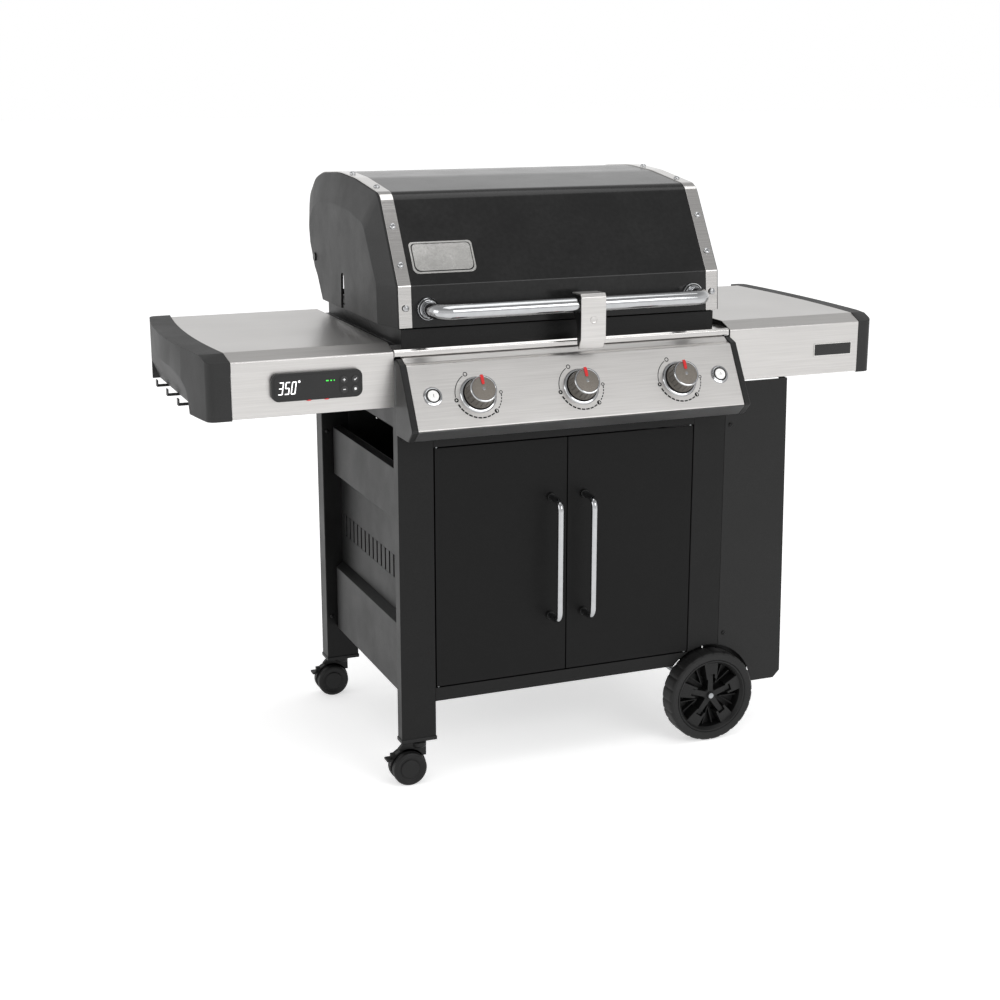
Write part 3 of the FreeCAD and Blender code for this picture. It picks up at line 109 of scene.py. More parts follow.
# Soft light: a white surround that is darker overhead, and three large diffusers.
world = bpy.data.worlds.new("studio")
scene.world = world
world.use_nodes = True
sky = world.node_tree
direction = add(sky, "TexCoord").outputs["Generated"]
height = add(sky, "SeparateXYZ", {"Vector": direction}).outputs["Z"]
fade = add(sky, "MapRange", {"Value": height, "From Min": 0.25, "From Max": 0.75,
                             "To Min": 1.0, "To Max": 0.55}, interpolation_type="SMOOTHSTEP")
sky.links.new(fade.outputs["Result"], sky.nodes["Background"].inputs["Strength"])
sky.nodes["Background"].inputs["Color"].default_value = (1, 1, 1, 1)
for name, place, aim, width, depth, power in (
        ("front_diffuser", (1.4, -4.0, 2.6), (0, -0.3, 0.8), 2.4, 1.6, 42),
        ("left_diffuser", (-4.6, -0.6, 1.8), (0, 0, 0.7), 2.2, 2.2, 26),
        ("top_diffuser", (0.4, -0.6, 4.4), (0.1, -0.1, 0.9), 3.6, 2.2, 44)):
    diffuser = bpy.data.lights.new(name, "AREA")
    diffuser.shape = "RECTANGLE"
    diffuser.size, diffuser.size_y, diffuser.energy = width, depth, power
    lamp = bpy.data.objects.new(name, diffuser)
    lamp.location = place
    lamp.rotation_euler = (Vector(aim) - Vector(place)).to_track_quat("-Z", "Y").to_euler()
    scene.collection.objects.link(lamp)

# ---------------------------------------------------------------- cabinet frame
# Four pressed channel legs, the rails between them and the two hangers of the wheel axle.
# They are folded from 2 mm steel, welded, and powder coated black.
CLOUDING = 90
SHARP = math.radians(32)
WELD_GAP = 2e-5
CABINET_X, CABINET_Y = 13.5, 26.2


def grained(name, low, high, grain, depth, sockets, gloss=(0.42, 0.55)):
    """A finish whose tone, gloss and relief follow a fine grain of a size in millimetres, and a
    broad clouding, as sprayed, cast and moulded faces have."""
    finish, tree, shader = new_finish(name, sockets)
    spot = add(tree, "TexCoord").outputs["Object"]
    fine = add(tree, "TexNoise", {"Vector": spot, "Scale": 1000 / grain, "Detail": 2})
    broad = add(tree, "TexNoise", {"Vector": spot, "Scale": 1000 / CLOUDING, "Detail": 4, "Roughness": 0.6})
    blend = add(tree, "Math", {0: fine.outputs["Fac"], 1: broad.outputs["Fac"]}, operation="MULTIPLY")
    share = add(tree, "MapRange", {"Value": blend.outputs[0], "From Min": 0.12, "From Max": 0.4})
    tone = add(tree, "Mix", {0: share.outputs[0], 6: linear(low), 7: linear(high)}, data_type="RGBA")
    rough = add(tree, "MapRange", {"Value": broad.outputs["Fac"], "From Min": 0.3, "From Max": 0.7,
                                   "To Min": gloss[0], "To Max": gloss[1]})
    relief = add(tree, "Bump", {"Height": fine.outputs["Fac"], "Strength": depth,
                                "Distance": grain / 4000})
    drive(tree, shader, tone.outputs[2], rough.outputs[0], relief.outputs[0])
    return finish


# Black powder coat on steel: the fused powder leaves a fine orange-peel grain, drawn 2.5 mm
# wide where the real one is under 1 mm, so the faces look satin and faintly uneven.
powder_coat = grained("black_powder_coat", "#0A0A0A", "#111111", 2.5, 0.25,
                      {"Specular IOR Level": 0.2}, (0.36, 0.46))
# Panel powder coat: the same grain laid duller, its tone painted lighter than the frame's as painted light
# for the brighter light on the side panels.
panel_coat_painted_light = grained("panel_powder_coat_painted_light", "#101010", "#171717", 2.5, 0.3,
                     {"Specular IOR Level": 0.27}, (0.42, 0.52))


def soften(piece, width, segments=2):
    """Round every sharp edge by a real edge radius, in millimetres."""
    bevel = piece.modifiers.new("edge_radius", "BEVEL")
    bevel.width = width / 1000
    bevel.segments = segments
    bevel.limit_method = "ANGLE"
    bevel.angle_limit = SHARP
    bevel.harden_normals = True
    even = piece.modifiers.new("even_faces", "WEIGHTED_NORMAL")
    even.keep_sharp = True
    return piece


def dress(finish, width, *nodes):
    """Give CAD parts their finish, and rounded edges where they have a width."""
    for node in nodes:
        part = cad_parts[node]
        part.data.materials.clear()
        part.data.materials.append(finish)
        weld = part.modifiers.new("weld", "WELD")
        weld.merge_threshold = WELD_GAP
        if width:
            soften(part, width)


dress(powder_coat, 1.6, "front_left_leg", "front_right_leg", "rear_legs", "frame_rails",
      "tray_runners")


def at(x, y, z):
    """A point measured from the middle of the cabinet in millimetres, in the frame's metres."""
    return Vector((x + CABINET_X, y + CABINET_Y, z)) / 1000


def stand(x, y, z, right, up):
    """Where a flat drawing in millimetres stands: its origin, and where its two axes point."""
    right, up = Vector(right).normalized(), Vector(up).normalized()
    turn = Matrix((right, up, right.cross(up))).transposed().to_4x4()
    return Matrix.Translation(at(x, y, z)) @ turn @ Matrix.Scale(0.001, 4)


def loft(shape, rings, tint=0, caps=True, around=False):
    """Join rings of points with faces, and close the ends or run round to the first ring."""
    rows = [[shape.verts.new(p) for p in ring] for ring in rings]
    faces = [] if around or not caps else [shape.faces.new(rows[0]), shape.faces.new(rows[-1])]
    pairs = list(zip(rows, rows[1:])) + ([(rows[-1], rows[0])] if around else [])
    for one, two in pairs:
        for i in range(len(one)):
            j = (i + 1) % len(one)
            faces.append(shape.faces.new((one[i], one[j], two[j], two[i])))
    for face in faces:
        face.material_index = tint


def prism(shape, place, outline, low, high, tint=0):
    """Run a flat outline from one height to another above its drawing plane."""
    loft(shape, [[place @ Vector((*p[:2], h)) for p in outline] for h in (low, high)], tint)


def box(shape, x, y, z, tint=0):
    """A block between pairs of x, y and z."""
    prism(shape, stand(0, 0, 0, (1, 0, 0), (0, 1, 0)),
          [(x[0], y[0]), (x[1], y[0]), (x[1], y[1]), (x[0], y[1])], z[0], z[1], tint)


def made(name, shape, *finishes):
    """Turn the drawn faces into a piece, smooth except at its sharp edges."""
    bmesh.ops.recalc_face_normals(shape, faces=shape.faces)
    mesh = bpy.data.meshes.new(name)
    shape.to_mesh(mesh)
    shape.free()
    for finish in finishes:
        mesh.materials.append(finish)
    mesh.shade_smooth()
    mesh.set_sharp_from_angle(angle=SHARP)
    piece = bpy.data.objects.new(name, mesh)
    scene.collection.objects.link(piece)
    return piece


def fit(piece, body, slot, *nodes):
    """The piece rides on a body and stands for CAD nodes, which are hidden. The slot is not used."""
    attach(piece, body)
    if nodes:
        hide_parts(*nodes)


# Wheel and foot plastic: glass-filled nylon, moulded with a spark-eroded grain that keeps it dull.
nylon = grained("black_nylon", "#0C0C0C", "#151515", 2.0, 0.3,
                {"IOR": 1.53, "Specular IOR Level": 0.25}, (0.4, 0.52))
# Moulded plugs close the feet of the two caster legs.
PLUG_ACROSS, PLUG_HEIGHT = (-367.5, -290), (90.5, 99)
plugs = bmesh.new()
for foot in ((-291.5, -260.5), (244.5, 291.5)):
    box(plugs, PLUG_ACROSS, foot, PLUG_HEIGHT)
fit(soften(made("leg_foot_plugs", plugs, nylon), 1.5), "cart", "wheel_plastic")

# ---------------------------------------------------------------- cabinet panels
# Folded sheet panels fill the sides, the floor and the back. The sides are pressed with a
# deep recess, and a row of upright vents is punched in it to cool the gas bottle.
dress(panel_coat_painted_light, 0.8, "floor_panel", "back_panel")
PANEL_OUT, PANEL_DEEP, PANEL_SHEET = 345, 324, 1.5
PANEL_LOW, PANEL_HIGH, PANEL_ENDS = 176, 652, (-262, 246)
BAND_ENDS, BAND_SLOPE = (-258, 228), 14
BANDS = ((PANEL_LOW, 332, 0, 9), (538, PANEL_HIGH, 7, 0))
VENTS, VENT_PITCH, VENT_HALF, VENT_LOW, VENT_HIGH = 16, 28.2, 4, 399, 448
for sign, side in ((-1, "left"), (1, "right")):
    sheet = bmesh.new()
    wall = sorted((sign * (PANEL_DEEP - PANEL_SHEET), sign * PANEL_DEEP))
    edges = [PANEL_ENDS[0]]
    for i in range(VENTS):
        middle = (i - (VENTS - 1) / 2) * VENT_PITCH
        edges += [middle - VENT_HALF, middle + VENT_HALF]
    edges.append(PANEL_ENDS[1])
    for ends in zip(edges[::2], edges[1::2]):
        box(sheet, wall, ends, (VENT_LOW, VENT_HIGH))
    for heights in ((PANEL_LOW, VENT_LOW), (VENT_HIGH, PANEL_HIGH)):
        box(sheet, wall, PANEL_ENDS, heights)
    for low, high, foot, head in BANDS:
        rings = []
        for x, inset in ((PANEL_DEEP, 0), (PANEL_OUT, 1)):
            y0, y1 = BAND_ENDS[0], BAND_ENDS[1] + BAND_SLOPE * (1 - inset)
            z0, z1 = low + foot * inset, high - head * inset
            rings.append([at(sign * x, y, z) for y, z in ((y0, z0), (y1, z0), (y1, z1), (y0, z1))])
        loft(sheet, rings)
    piece = soften(made(side + "_side_sheet", sheet, panel_coat_painted_light), 1.5)
    fit(piece, "cart", "black_paint", side + "_side_panel")

# The bottle shield is one folded sheet on the right, cut round the wheel.
dress(panel_coat_painted_light, 1.0, "tank_shield")

# Blackened steel: an oxide skin that keeps a dim metal gloss, on screws, hooks and hinge pins.
blackened = grained("blackened_steel", "#131313", "#1F1F1F", 3.0, 0.2, {"Metallic": 0.6}, (0.3, 0.42))


def turned(shape, place, profile, steps=48, tint=0, caps=True, around=False, notch=None):
    """Spin a profile of (radius, height) round the drawing's upright axis.
    A notch (every, depth, first, last) cuts a groove at every so many steps of those rows."""
    rings = []
    for row, (radius, height) in enumerate(profile):
        ring = []
        for k in range(steps):
            angle = 2 * math.pi * k / steps
            r = radius
            if notch and notch[2] <= row <= notch[3] and k % notch[0] == 0:
                r -= notch[1]
            ring.append(place @ Vector((r * math.cos(angle), r * math.sin(angle), height)))
        rings.append(ring)
    loft(shape, rings, tint, caps, around)


# The screws have domed heads with a round socket. The last number is 1 where a head faces forward.
SCREW_HEAD = [(4.6, 0), (4.6, 0.8), (4.2, 2.0), (3.2, 2.9), (2.0, 3.3), (1.9, 2.2)]
SCREWS = ((-354, -290, 733, 1), (354, -290, 733, 1), (379, -289.7, 702, 1), (379, -289.7, 236, 1),
          (-354, 289.7, 733, -1), (354, 289.7, 733, -1), (-354, 245.6, 640, 1), (-354, 245.6, 200, 1))
screws = bmesh.new()
for x, y, z, facing in SCREWS:
    turned(screws, stand(x, y, z, (facing, 0, 0), (0, 0, 1)), SCREW_HEAD, 20)
fit(made("cabinet_screws", screws, blackened), "cart", "black_paint")

# ---------------------------------------------------------------- doors
# Two box-folded steel doors, powder coated like the frame, each on two pins. Their flat
# faces are the largest of the cabinet.
# Door paint: the same coat laid flatter and painted a shade darker than the frame's, as painted shade on the
# door faces; it shows only a slow shimmer.
door_coat_painted_shade = grained("door_powder_coat_painted_shade", "#0A0A0A", "#0F0F0F", 2.5, 0.15,
                    {"Specular IOR Level": 0.15}, (0.44, 0.52))
dress(door_coat_painted_shade, 1.8, "left_door", "right_door")

# Zinc plated steel on the pins, axle and rack: a dull grey metal with a spangle of 9 mm.
zinc = grained("zinc_plated_steel", "#8C8E90", "#A9ABAD", 9, 0.1, {"Metallic": 1.0}, (0.35, 0.5))
dress(zinc, 0, "door_hinge_pins", "wheel_axle")


def rounded(corners, radii, closed=True, steps=6):
    """Replace the corners of a path with arcs; radii is one number or one for each corner."""
    points, count = [], len(corners)
    for i, corner in enumerate(corners):
        here = Vector(corner)
        radius = radii[i] if isinstance(radii, (list, tuple)) else radii
        if radius == 0 or not closed and i in (0, count - 1):
            points.append(here)
            continue
        back, ahead = Vector(corners[i - 1]) - here, Vector(corners[(i + 1) % count]) - here
        half = back.angle(ahead) / 2
        if half > math.pi / 2 - 0.002:
            points.append(here)
            continue
        reach = min(radius / math.tan(half), 0.49 * back.length, 0.49 * ahead.length)
        away = reach * math.tan(half) / math.sin(half)
        back, ahead = back.normalized(), ahead.normalized()
        centre = here + (back + ahead).normalized() * away
        start, end = here + back * reach - centre, here + ahead * reach - centre
        angle = start.angle(end)
        for k in range(steps + 1):
            one, two = math.sin((1 - k / steps) * angle), math.sin(k / steps * angle)
            points.append(centre + (start * one + end * two) / math.sin(angle))
    return points


def tube(shape, path, radius, bend, steps):
    """Bend a round rod along a path of points in millimetres."""
    line = rounded(path, bend, closed=False, steps=10)
    rings = []
    side = Vector((0, 0, 1)) if abs((line[1] - line[0]).normalized().z) < 0.9 else Vector((1, 0, 0))
    for i, point in enumerate(line):
        run = (line[min(i + 1, len(line) - 1)] - line[max(i - 1, 0)]).normalized()
        side = (side - run * side.dot(run)).normalized()
        other = run.cross(side)
        ring = []
        for k in range(steps):
            angle = 2 * math.pi * k / steps
            ring.append(at(*(point + (side * math.cos(angle) + other * math.sin(angle)) * radius)))
        rings.append(ring)
    loft(shape, rings)


# Chromed steel: copper and nickel under chrome give a bright mirror, a touch soft from polishing.
CHROME_HAZE = 12
chrome, tree, shader = new_finish("polished_chrome", {"Metallic": 1.0})
spot = add(tree, "TexCoord").outputs["Object"]
haze = add(tree, "TexNoise", {"Vector": spot, "Scale": 1000 / CHROME_HAZE, "Detail": 4})
rough = add(tree, "MapRange", {"Value": haze.outputs["Fac"], "To Min": 0.04, "To Max": 0.14})
tone = add(tree, "Mix", {0: haze.outputs["Fac"], 6: linear("#A4A5A7"), 7: linear("#B6B7B8")},
           data_type="RGBA")
drive(tree, shader, tone.outputs[2], rough.outputs[0])

# Each door pull is a 13 mm chromed rod, bent twice, with a blackened collar where it meets the door, as
# painted shade for the shadow round the pull's feet.
PULL_X, PULL_ROD, PULL_BEND, PULL_STEPS = 37.6, 6.5, 20, 28
DOOR_FACE, PULL_OUT, PULL_FEET = -290, -342, (330, 585)
PULL_SHADE_COLLAR = [(8.6, 0), (8.6, 4), (8.0, 5), (6.4, 5.2)]
for sign, side in ((-1, "left"), (1, "right")):
    pull = bmesh.new()
    x = sign * PULL_X
    low, high = PULL_FEET
    path = [(x, DOOR_FACE, low), (x, PULL_OUT, low), (x, PULL_OUT, high), (x, DOOR_FACE, high)]
    tube(pull, path, PULL_ROD, PULL_BEND, PULL_STEPS)
    for z in PULL_FEET:
        turned(pull, stand(x, DOOR_FACE, z, (1, 0, 0), (0, 0, 1)), PULL_SHADE_COLLAR, PULL_STEPS, 1)
    fit(made(side + "_door_pull", pull, chrome, blackened), side + "_door", "chrome",
        side + "_door_handle")

# ---------------------------------------------------------------- side tables
# Each table is one sheet of stainless steel, folded over the front with a bevel between the
# top and the face. A moulded cap closes its outer end, where the sheet follows the cap's bow.
BRUSH_WIDE, BRUSH_LONG, BRUSH_PATCH = 2.0, 110, 160


def brushed(name, low, high, gloss):
    """Brushed stainless steel: lines 110 mm long, drawn 2 mm wide where real ones are 0.1 mm.
    They give long soft streaks, and highlights that spread across the grain."""
    finish, tree, shader = new_finish(name, {"Metallic": 1.0})
    spot = add(tree, "TexCoord").outputs["Object"]
    scale = (1000 / BRUSH_LONG, 1000 / BRUSH_WIDE, 1000 / BRUSH_WIDE)
    run = add(tree, "Mapping", {"Vector": spot, "Scale": scale})
    lines = add(tree, "TexNoise", {"Vector": run.outputs[0], "Scale": 1.0, "Detail": 3})
    patch = add(tree, "TexNoise", {"Vector": spot, "Scale": 1000 / BRUSH_PATCH, "Detail": 2})
    share = add(tree, "MapRange", {"Value": lines.outputs["Fac"], "From Min": 0.3, "From Max": 0.7})
    tone = add(tree, "Mix", {0: share.outputs[0], 6: linear(low), 7: linear(high)}, data_type="RGBA")
    sum_of = add(tree, "Math", {0: lines.outputs["Fac"], 1: patch.outputs["Fac"]}, operation="ADD")
    rough = add(tree, "MapRange", {"Value": sum_of.outputs[0], "From Min": 0.7, "From Max": 1.3,
                                   "To Min": gloss[0], "To Max": gloss[1]})
    relief = add(tree, "Bump", {"Height": lines.outputs["Fac"], "Strength": 0.06, "Distance": 0.0003})
    drive(tree, shader, tone.outputs[2], rough.outputs[0], relief.outputs[0])
    return finish


# Table and panel steel: an even, pale grain that runs from side to side.
stainless = brushed("brushed_stainless", "#BDBBB9", "#C7C5C3", (0.31, 0.38))
# Cap plastic: polypropylene, moulded dark grey with a leather-like grain of 1.6 mm.
cap_plastic = grained("grained_cap_plastic", "#202020", "#292929", 1.6, 0.5,
                      {"IOR": 1.49, "Specular IOR Level": 0.3}, (0.5, 0.6))
TABLE_IN, TABLE_FRONT, TABLE_REAR = 371, -289, 266
TABLE_TOP, FOLD_Y, FOLD_DROP = 919, -250.5, 14
TABLE_FOLD = rounded([(-272, 796), (TABLE_FRONT, 796), (TABLE_FRONT, TABLE_TOP - FOLD_DROP),
                      (FOLD_Y, TABLE_TOP), (242, TABLE_TOP), (242, 889)],
                     [0, 2.5, 3, 3, 3, 0], closed=False, steps=3)
# Each side's width at the corners and the rise of its bow, for the sheet and then for the cap.
TABLES = ((-1, "left", 691, 19, 736, 27), (1, "right", 687, 17, 722, 14))
SHEET_RUN, SHEET_THICK = 40, 1.5


def bow(y, ends, rise):
    """Half width of a table at y: straight ends and a bowed outer side."""
    share = min(max((y - TABLE_FRONT) / (TABLE_REAR - TABLE_FRONT), 0), 1)
    return ends + rise * 4 * share * (1 - share)


def folded(name, rows, thickness, offset, finish, edge=0.5):
    """A sheet laid over rows of three points and given its thickness in millimetres."""
    sheet = bmesh.new()
    rows = [[sheet.verts.new(p) for p in row] for row in rows]
    for one, two in zip(rows, rows[1:]):
        for i in range(2):
            sheet.faces.new((one[i], one[i + 1], two[i + 1], two[i]))
    piece = made(name, sheet, finish)
    thick = piece.modifiers.new("sheet", "SOLIDIFY")
    thick.thickness = thickness / 1000
    thick.offset = offset
    return soften(piece, edge)


fold = []
for one, two in zip(TABLE_FOLD, TABLE_FOLD[1:]):
    parts = max(1, int((two - one).length / SHEET_RUN))
    fold += [one + (two - one) * k / parts for k in range(parts)]
fold.append(TABLE_FOLD[-1])
for sign, side, ends, rise, *_ in TABLES:
    rows = []
    for y, z in fold:
        edge_x = bow(y, ends, rise)
        rows.append([at(sign * x, y, z) for x in (TABLE_IN, TABLE_IN + (edge_x - TABLE_IN) / 2, edge_x)])
    fit(folded(side + "_table_sheet", rows, SHEET_THICK, -1, stainless), "cart", "stainless",
        side + "_table")


def cut(piece, cutter):
    """Cut one shape out of a piece and throw the cutter away."""
    knife = piece.modifiers.new("cut", "BOOLEAN")
    knife.operation = "DIFFERENCE"
    knife.solver = "EXACT"
    knife.object = cutter
    bpy.context.view_layer.update()
    ready = piece.evaluated_get(bpy.context.evaluated_depsgraph_get())
    mesh = bpy.data.meshes.new_from_object(ready)
    piece.modifiers.remove(knife)
    piece.data = mesh
    bpy.data.objects.remove(cutter)
    mesh.shade_smooth()
    mesh.set_sharp_from_angle(angle=SHARP)
    return piece


# The caps are hollow mouldings. Both are bevelled to the sheet's fold, their upright corners
# are rounded, and the left one is scooped out in an arch whose wall slopes in over the tool hooks.
CAP_STEPS, CAP_WALL, CAP_CORNER, CAP_GAP = 16, 3.2, 17, 0.4
CAP_LOW, CAP_TOP, HOLLOW_LOW, HOLLOW_REACH, FULL_REACH = 794, 919.3, 780, 724, 900
# The scoop's arch, and how far out its wall stands at a height.
ARCH = rounded([(-194, 780), (-180, 838), (-120, 867), (145, 867), (204, 838), (218, 780)],
               [0, 46, 70, 70, 46, 0], steps=7)
SCOOP_OUT, SCOOP_X, SCOOP_Z, SCOOP_SLOPE = -800, -762, 868, 0.446
for sign, side, ends, rise, outer, belly in TABLES:
    solids = []
    for shrink, floor_z in ((0, CAP_LOW), (CAP_WALL, HOLLOW_LOW)):
        front, rear = TABLE_FRONT + shrink, TABLE_REAR - shrink
        reach = HOLLOW_REACH if shrink and sign < 0 else FULL_REACH
        inside = [(bow(y, ends, rise) + CAP_GAP + shrink, y) for y in (
            rear + (front - rear) * k / CAP_STEPS for k in range(CAP_STEPS + 1))]
        outside = [(min(reach, bow(y, outer, belly) - shrink), y) for y in (
            front + (rear - front) * k / CAP_STEPS for k in range(CAP_STEPS + 1))]
        corner = CAP_CORNER - shrink
        radii = [0] * len(inside) + [corner] + [0] * (CAP_STEPS - 1) + [corner]
        solid = bmesh.new()
        low, high = [], []
        for x, y in rounded(inside + outside, radii, steps=7):
            fall = max(0, (FOLD_Y - y) / (FOLD_Y - TABLE_FRONT)) * FOLD_DROP
            low.append(at(sign * x, y, floor_z))
            high.append(at(sign * x, y, CAP_TOP - shrink - fall))
        loft(solid, [low, high])
        if shrink == 0:
            bmesh.ops.bisect_plane(solid, geom=solid.verts[:] + solid.edges[:] + solid.faces[:],
                                   plane_co=at(0, FOLD_Y, 0), plane_no=(0, 1, 0))
        solids.append(made(side + "_table_end", solid, cap_plastic))
    piece = cut(*solids)
    if sign < 0:
        scoop = bmesh.new()
        loft(scoop, [[at(SCOOP_OUT, y, z) for y, z in ARCH],
                     [at(SCOOP_X + (SCOOP_Z - z) * SCOOP_SLOPE, y, z) for y, z in ARCH]])
        piece = cut(piece, made("scoop", scoop))
    piece.name = side + "_end_cap"
    soften(piece, 2.2, 3)
    fit(piece, "cart", "cap_plastic", side + "_table_cap")
dress(blackened, 0.5, "tool_hooks")
dress(powder_coat, 1.0, "table_arms")

# A blank oblong plate is stuck on the right table's face.
# Name-plate lacquer: gloss black on a thin aluminium plate.
plate_black = grained("plate_lacquer", "#0C0C0C", "#121212", 3, 0.1, {}, (0.2, 0.3))
# Die-cast zinc, bright nickel plated, for the plates' raised rims.
plate_rim = grained("nickel_plate_rim", "#C8C7C4", "#D8D7D4", 4, 0.1, {"Metallic": 1.0}, (0.16, 0.26))
front = stand(0, 0, 0, (1, 0, 0), (0, 0, 1))
TABLE_FACE, PLATE_BACK = 289, 290.2
badge = bmesh.new()
prism(badge, front, rounded([(577, 835), (671, 835), (671, 863), (577, 863)], 2), TABLE_FACE, PLATE_BACK)
prism(badge, front, rounded([(579, 837), (669, 837), (669, 861), (579, 861)], 1.5), PLATE_BACK,
      PLATE_BACK + 0.4, 1)
fit(soften(made("right_table_plate", badge, plate_rim, plate_black), 0.3), "cart", "gloss_black")

# ---------------------------------------------------------------- display unit
# A moulded housing on the left table shows the grill's temperature. It has four rubber keys
# and two probe sockets with red collars below.
# Display housing: ABS with a fine matt texture round the lens.
housing = grained("display_housing_abs", "#1B1B1B", "#222222", 1.8, 0.25,
                  {"IOR": 1.54, "Specular IOR Level": 0.3}, (0.38, 0.48))
# Lamps behind the lens: the white figures and green dots glow evenly, and the dots are dimmer.
digit_light = grained("digit_segments", "#F4F4F4", "#FFFFFF", 3, 0.05,
                      {"Emission Color": linear("#FFFFFF"), "Emission Strength": 0.9}, (0.3, 0.4))
green_light = grained("green_indicator", "#2FBF3A", "#49E052", 3, 0.05,
                      {"Emission Color": linear("#37D63F"), "Emission Strength": 0.8}, (0.3, 0.4))
# Silk-screen ink on the keys: matt off-white, a little uneven.
key_print = grained("key_symbols", "#D8D8D8", "#EEEEEE", 3, 0.05, {}, (0.5, 0.6))
# Moulded red nylon: bright and half glossy, so the sockets are found in the dark.
probe_red = grained("probe_collar_red", "#C3161B", "#DE1F22", 3, 0.1, {}, (0.3, 0.4))
UNIT_EDGE = [(-617, 826), (-438, 826), (-438, 880), (-617, 880)]
LENS_EDGE = [(-612, 831), (-443, 831), (-443, 875), (-612, 875)]
KEY_PAD = [(-484, 833), (-466, 833), (-466, 870), (-484, 870)]
UNIT_FACE, LENS_FACE, PAD_FACE, MARK_FACE = 299.2, 299.9, 300.6, 300.2
unit = bmesh.new()
prism(unit, front, rounded(UNIT_EDGE, 14), TABLE_FACE, UNIT_FACE)
prism(unit, front, rounded(LENS_EDGE, 10), UNIT_FACE, LENS_FACE)
prism(unit, front, rounded(KEY_PAD, 8.9), LENS_FACE, PAD_FACE)
PROBE_Y, PROBE_Z, PROBE_HOLE = -294.5, 827, 1.8
PROBE_COLLAR = [(PROBE_HOLE, 0), (PROBE_HOLE, 2.6), (4.6, 2.6), (5.2, 1.6), (5.2, 0)]
for x in (-544, -509):
    socket = stand(x, PROBE_Y, PROBE_Z, (1, 0, 0), (0, -1, 0))
    turned(unit, socket, PROBE_COLLAR, 28, 1, False, True)
    # A blackened disc inside each collar is painted shade for the socket's hole.
    turned(unit, socket, [(PROBE_HOLE, 0), (PROBE_HOLE, 0.6)], 20, 2)
fit(soften(made("display_housing", unit, housing, probe_red, blackened), 1.6, 3), "cart",
    "gloss_black", "display_unit")

# The figures are seven-segment ones, 25 mm high and slanted, and read 350 degrees.
STROKES = {"top": (0, 2), "upper_right": (1, 1), "lower_right": (1, 0), "bottom": (0, 0),
           "lower_left": (-1, 0), "upper_left": (-1, 1), "middle": (0, 1)}
FIGURES = (("top", "upper_right", "middle", "lower_right", "bottom"),
           ("top", "upper_left", "middle", "lower_right", "bottom"),
           ("top", "upper_right", "lower_right", "bottom", "lower_left", "upper_left"))
DIGIT_X, DIGIT_Z, DIGIT_PITCH, DIGIT_LEAN = -601, 839, 12.4, 0.16
STROKE_HALF, STROKE_LEVEL, STROKE_RISE, STROKE_GAP = 1.0, 3.6, 5.2, 11.2
digits = bmesh.new()
for place, figure in enumerate(FIGURES):
    for stroke in figure:
        side, up = STROKES[stroke]
        if side == 0:
            half_u, half_v, foot = STROKE_LEVEL, STROKE_HALF, 1.4
        else:
            half_u, half_v, foot = STROKE_HALF, STROKE_RISE, 7.0
        outline = []
        for u, v in ((-half_u, -half_v), (half_u, -half_v), (half_u, half_v), (-half_u, half_v)):
            u, v = u + STROKE_LEVEL * side, v + STROKE_GAP * up + foot
            outline.append((DIGIT_X + DIGIT_PITCH * place + u + DIGIT_LEAN * v, DIGIT_Z + v))
        prism(digits, front, outline, LENS_FACE, MARK_FACE)
degree = stand(-563, -LENS_FACE, 863, (1, 0, 0), (0, 0, 1))
turned(digits, degree, [(1.1, 0), (1.1, 0.3), (2.3, 0.3), (2.3, 0)], 20, 0, False, True)
fit(made("display_digits", digits, digit_light), "cart", "gloss_black")
# Three green dots beside the figures shrink from left to right.
DOT_LOW, DOT_HIGH = 860, 862.4
dots = bmesh.new()
for x, half in ((-508, 2.6), (-500.5, 1.5), (-494.5, 1.0)):
    dot = [(x - half, DOT_LOW), (x + half, DOT_LOW), (x + half, DOT_HIGH), (x - half, DOT_HIGH)]
    prism(dots, front, rounded(dot, 0.8, steps=3), LENS_FACE, MARK_FACE)
fit(made("display_dots", dots, green_light), "cart", "gloss_black")

# Silicone rubber on the domed keys: matt, a shade paler than the lens round it.
key_rubber = grained("key_rubber", "#202020", "#2A2A2A", 1.6, 0.2, {}, (0.5, 0.6))
SYMBOLS = {"plus": [[(-2.6, -0.7), (2.6, -0.7), (2.6, 0.7), (-2.6, 0.7)],
                    [(-0.7, 0.7), (0.7, 0.7), (0.7, 2.6), (-0.7, 2.6)],
                    [(-0.7, -2.6), (0.7, -2.6), (0.7, -0.7), (-0.7, -0.7)]],
           "minus": [[(-2.6, -0.7), (2.6, -0.7), (2.6, 0.7), (-2.6, 0.7)]],
           "check": [[(-3.2, -0.2), (-2.2, 0.8), (-0.8, -0.7), (-0.8, -2.7)],
                     [(-0.8, -2.7), (-0.8, -0.7), (2.6, 2.7), (3.4, 1.7)]],
           "lamp": [[(2.6 * math.cos(a), 2.6 * math.sin(a)) for a in (
               2 * math.pi * k / 12 for k in range(12))]]}
KEY_PLACES = {"plus": (-475, 861), "minus": (-475, 842), "check": (-453, 861), "lamp": (-453, 842)}
KEY_SEAT, KEY_TOP = -296.5, 5.3
for key, (x, z) in KEY_PLACES.items():
    button = bmesh.new()
    seat = stand(x, KEY_SEAT, z, (1, 0, 0), (0, 0, 1))
    turned(button, seat, [(7.2, 0), (7.2, 4.2), (6.8, 4.9), (6.0, 5.2), (4.5, KEY_TOP)], 36)
    for outline in SYMBOLS[key]:
        prism(button, seat, outline, KEY_TOP, KEY_TOP + 0.2, 1)
    fit(made(key + "_key_cap", button, key_rubber, key_print), key + "_key", "gloss_black",
        key + "_key")

# ---------------------------------------------------------------- cookbox and what is in it
# The cookbox is cast aluminium, painted black, with the grates, heat plates, burners and gas
# manifold inside it. A collar of the casting shows under the lid.
# Casting paint: high-heat black over a sand-cast skin, which shows as a coarse 3 mm grain.
cast_paint = grained("heat_paint_on_casting", "#0D0D0D", "#151515", 3.0, 0.35,
                     {"Specular IOR Level": 0.2}, (0.34, 0.46))
dress(cast_paint, 1.2, "cookbox")
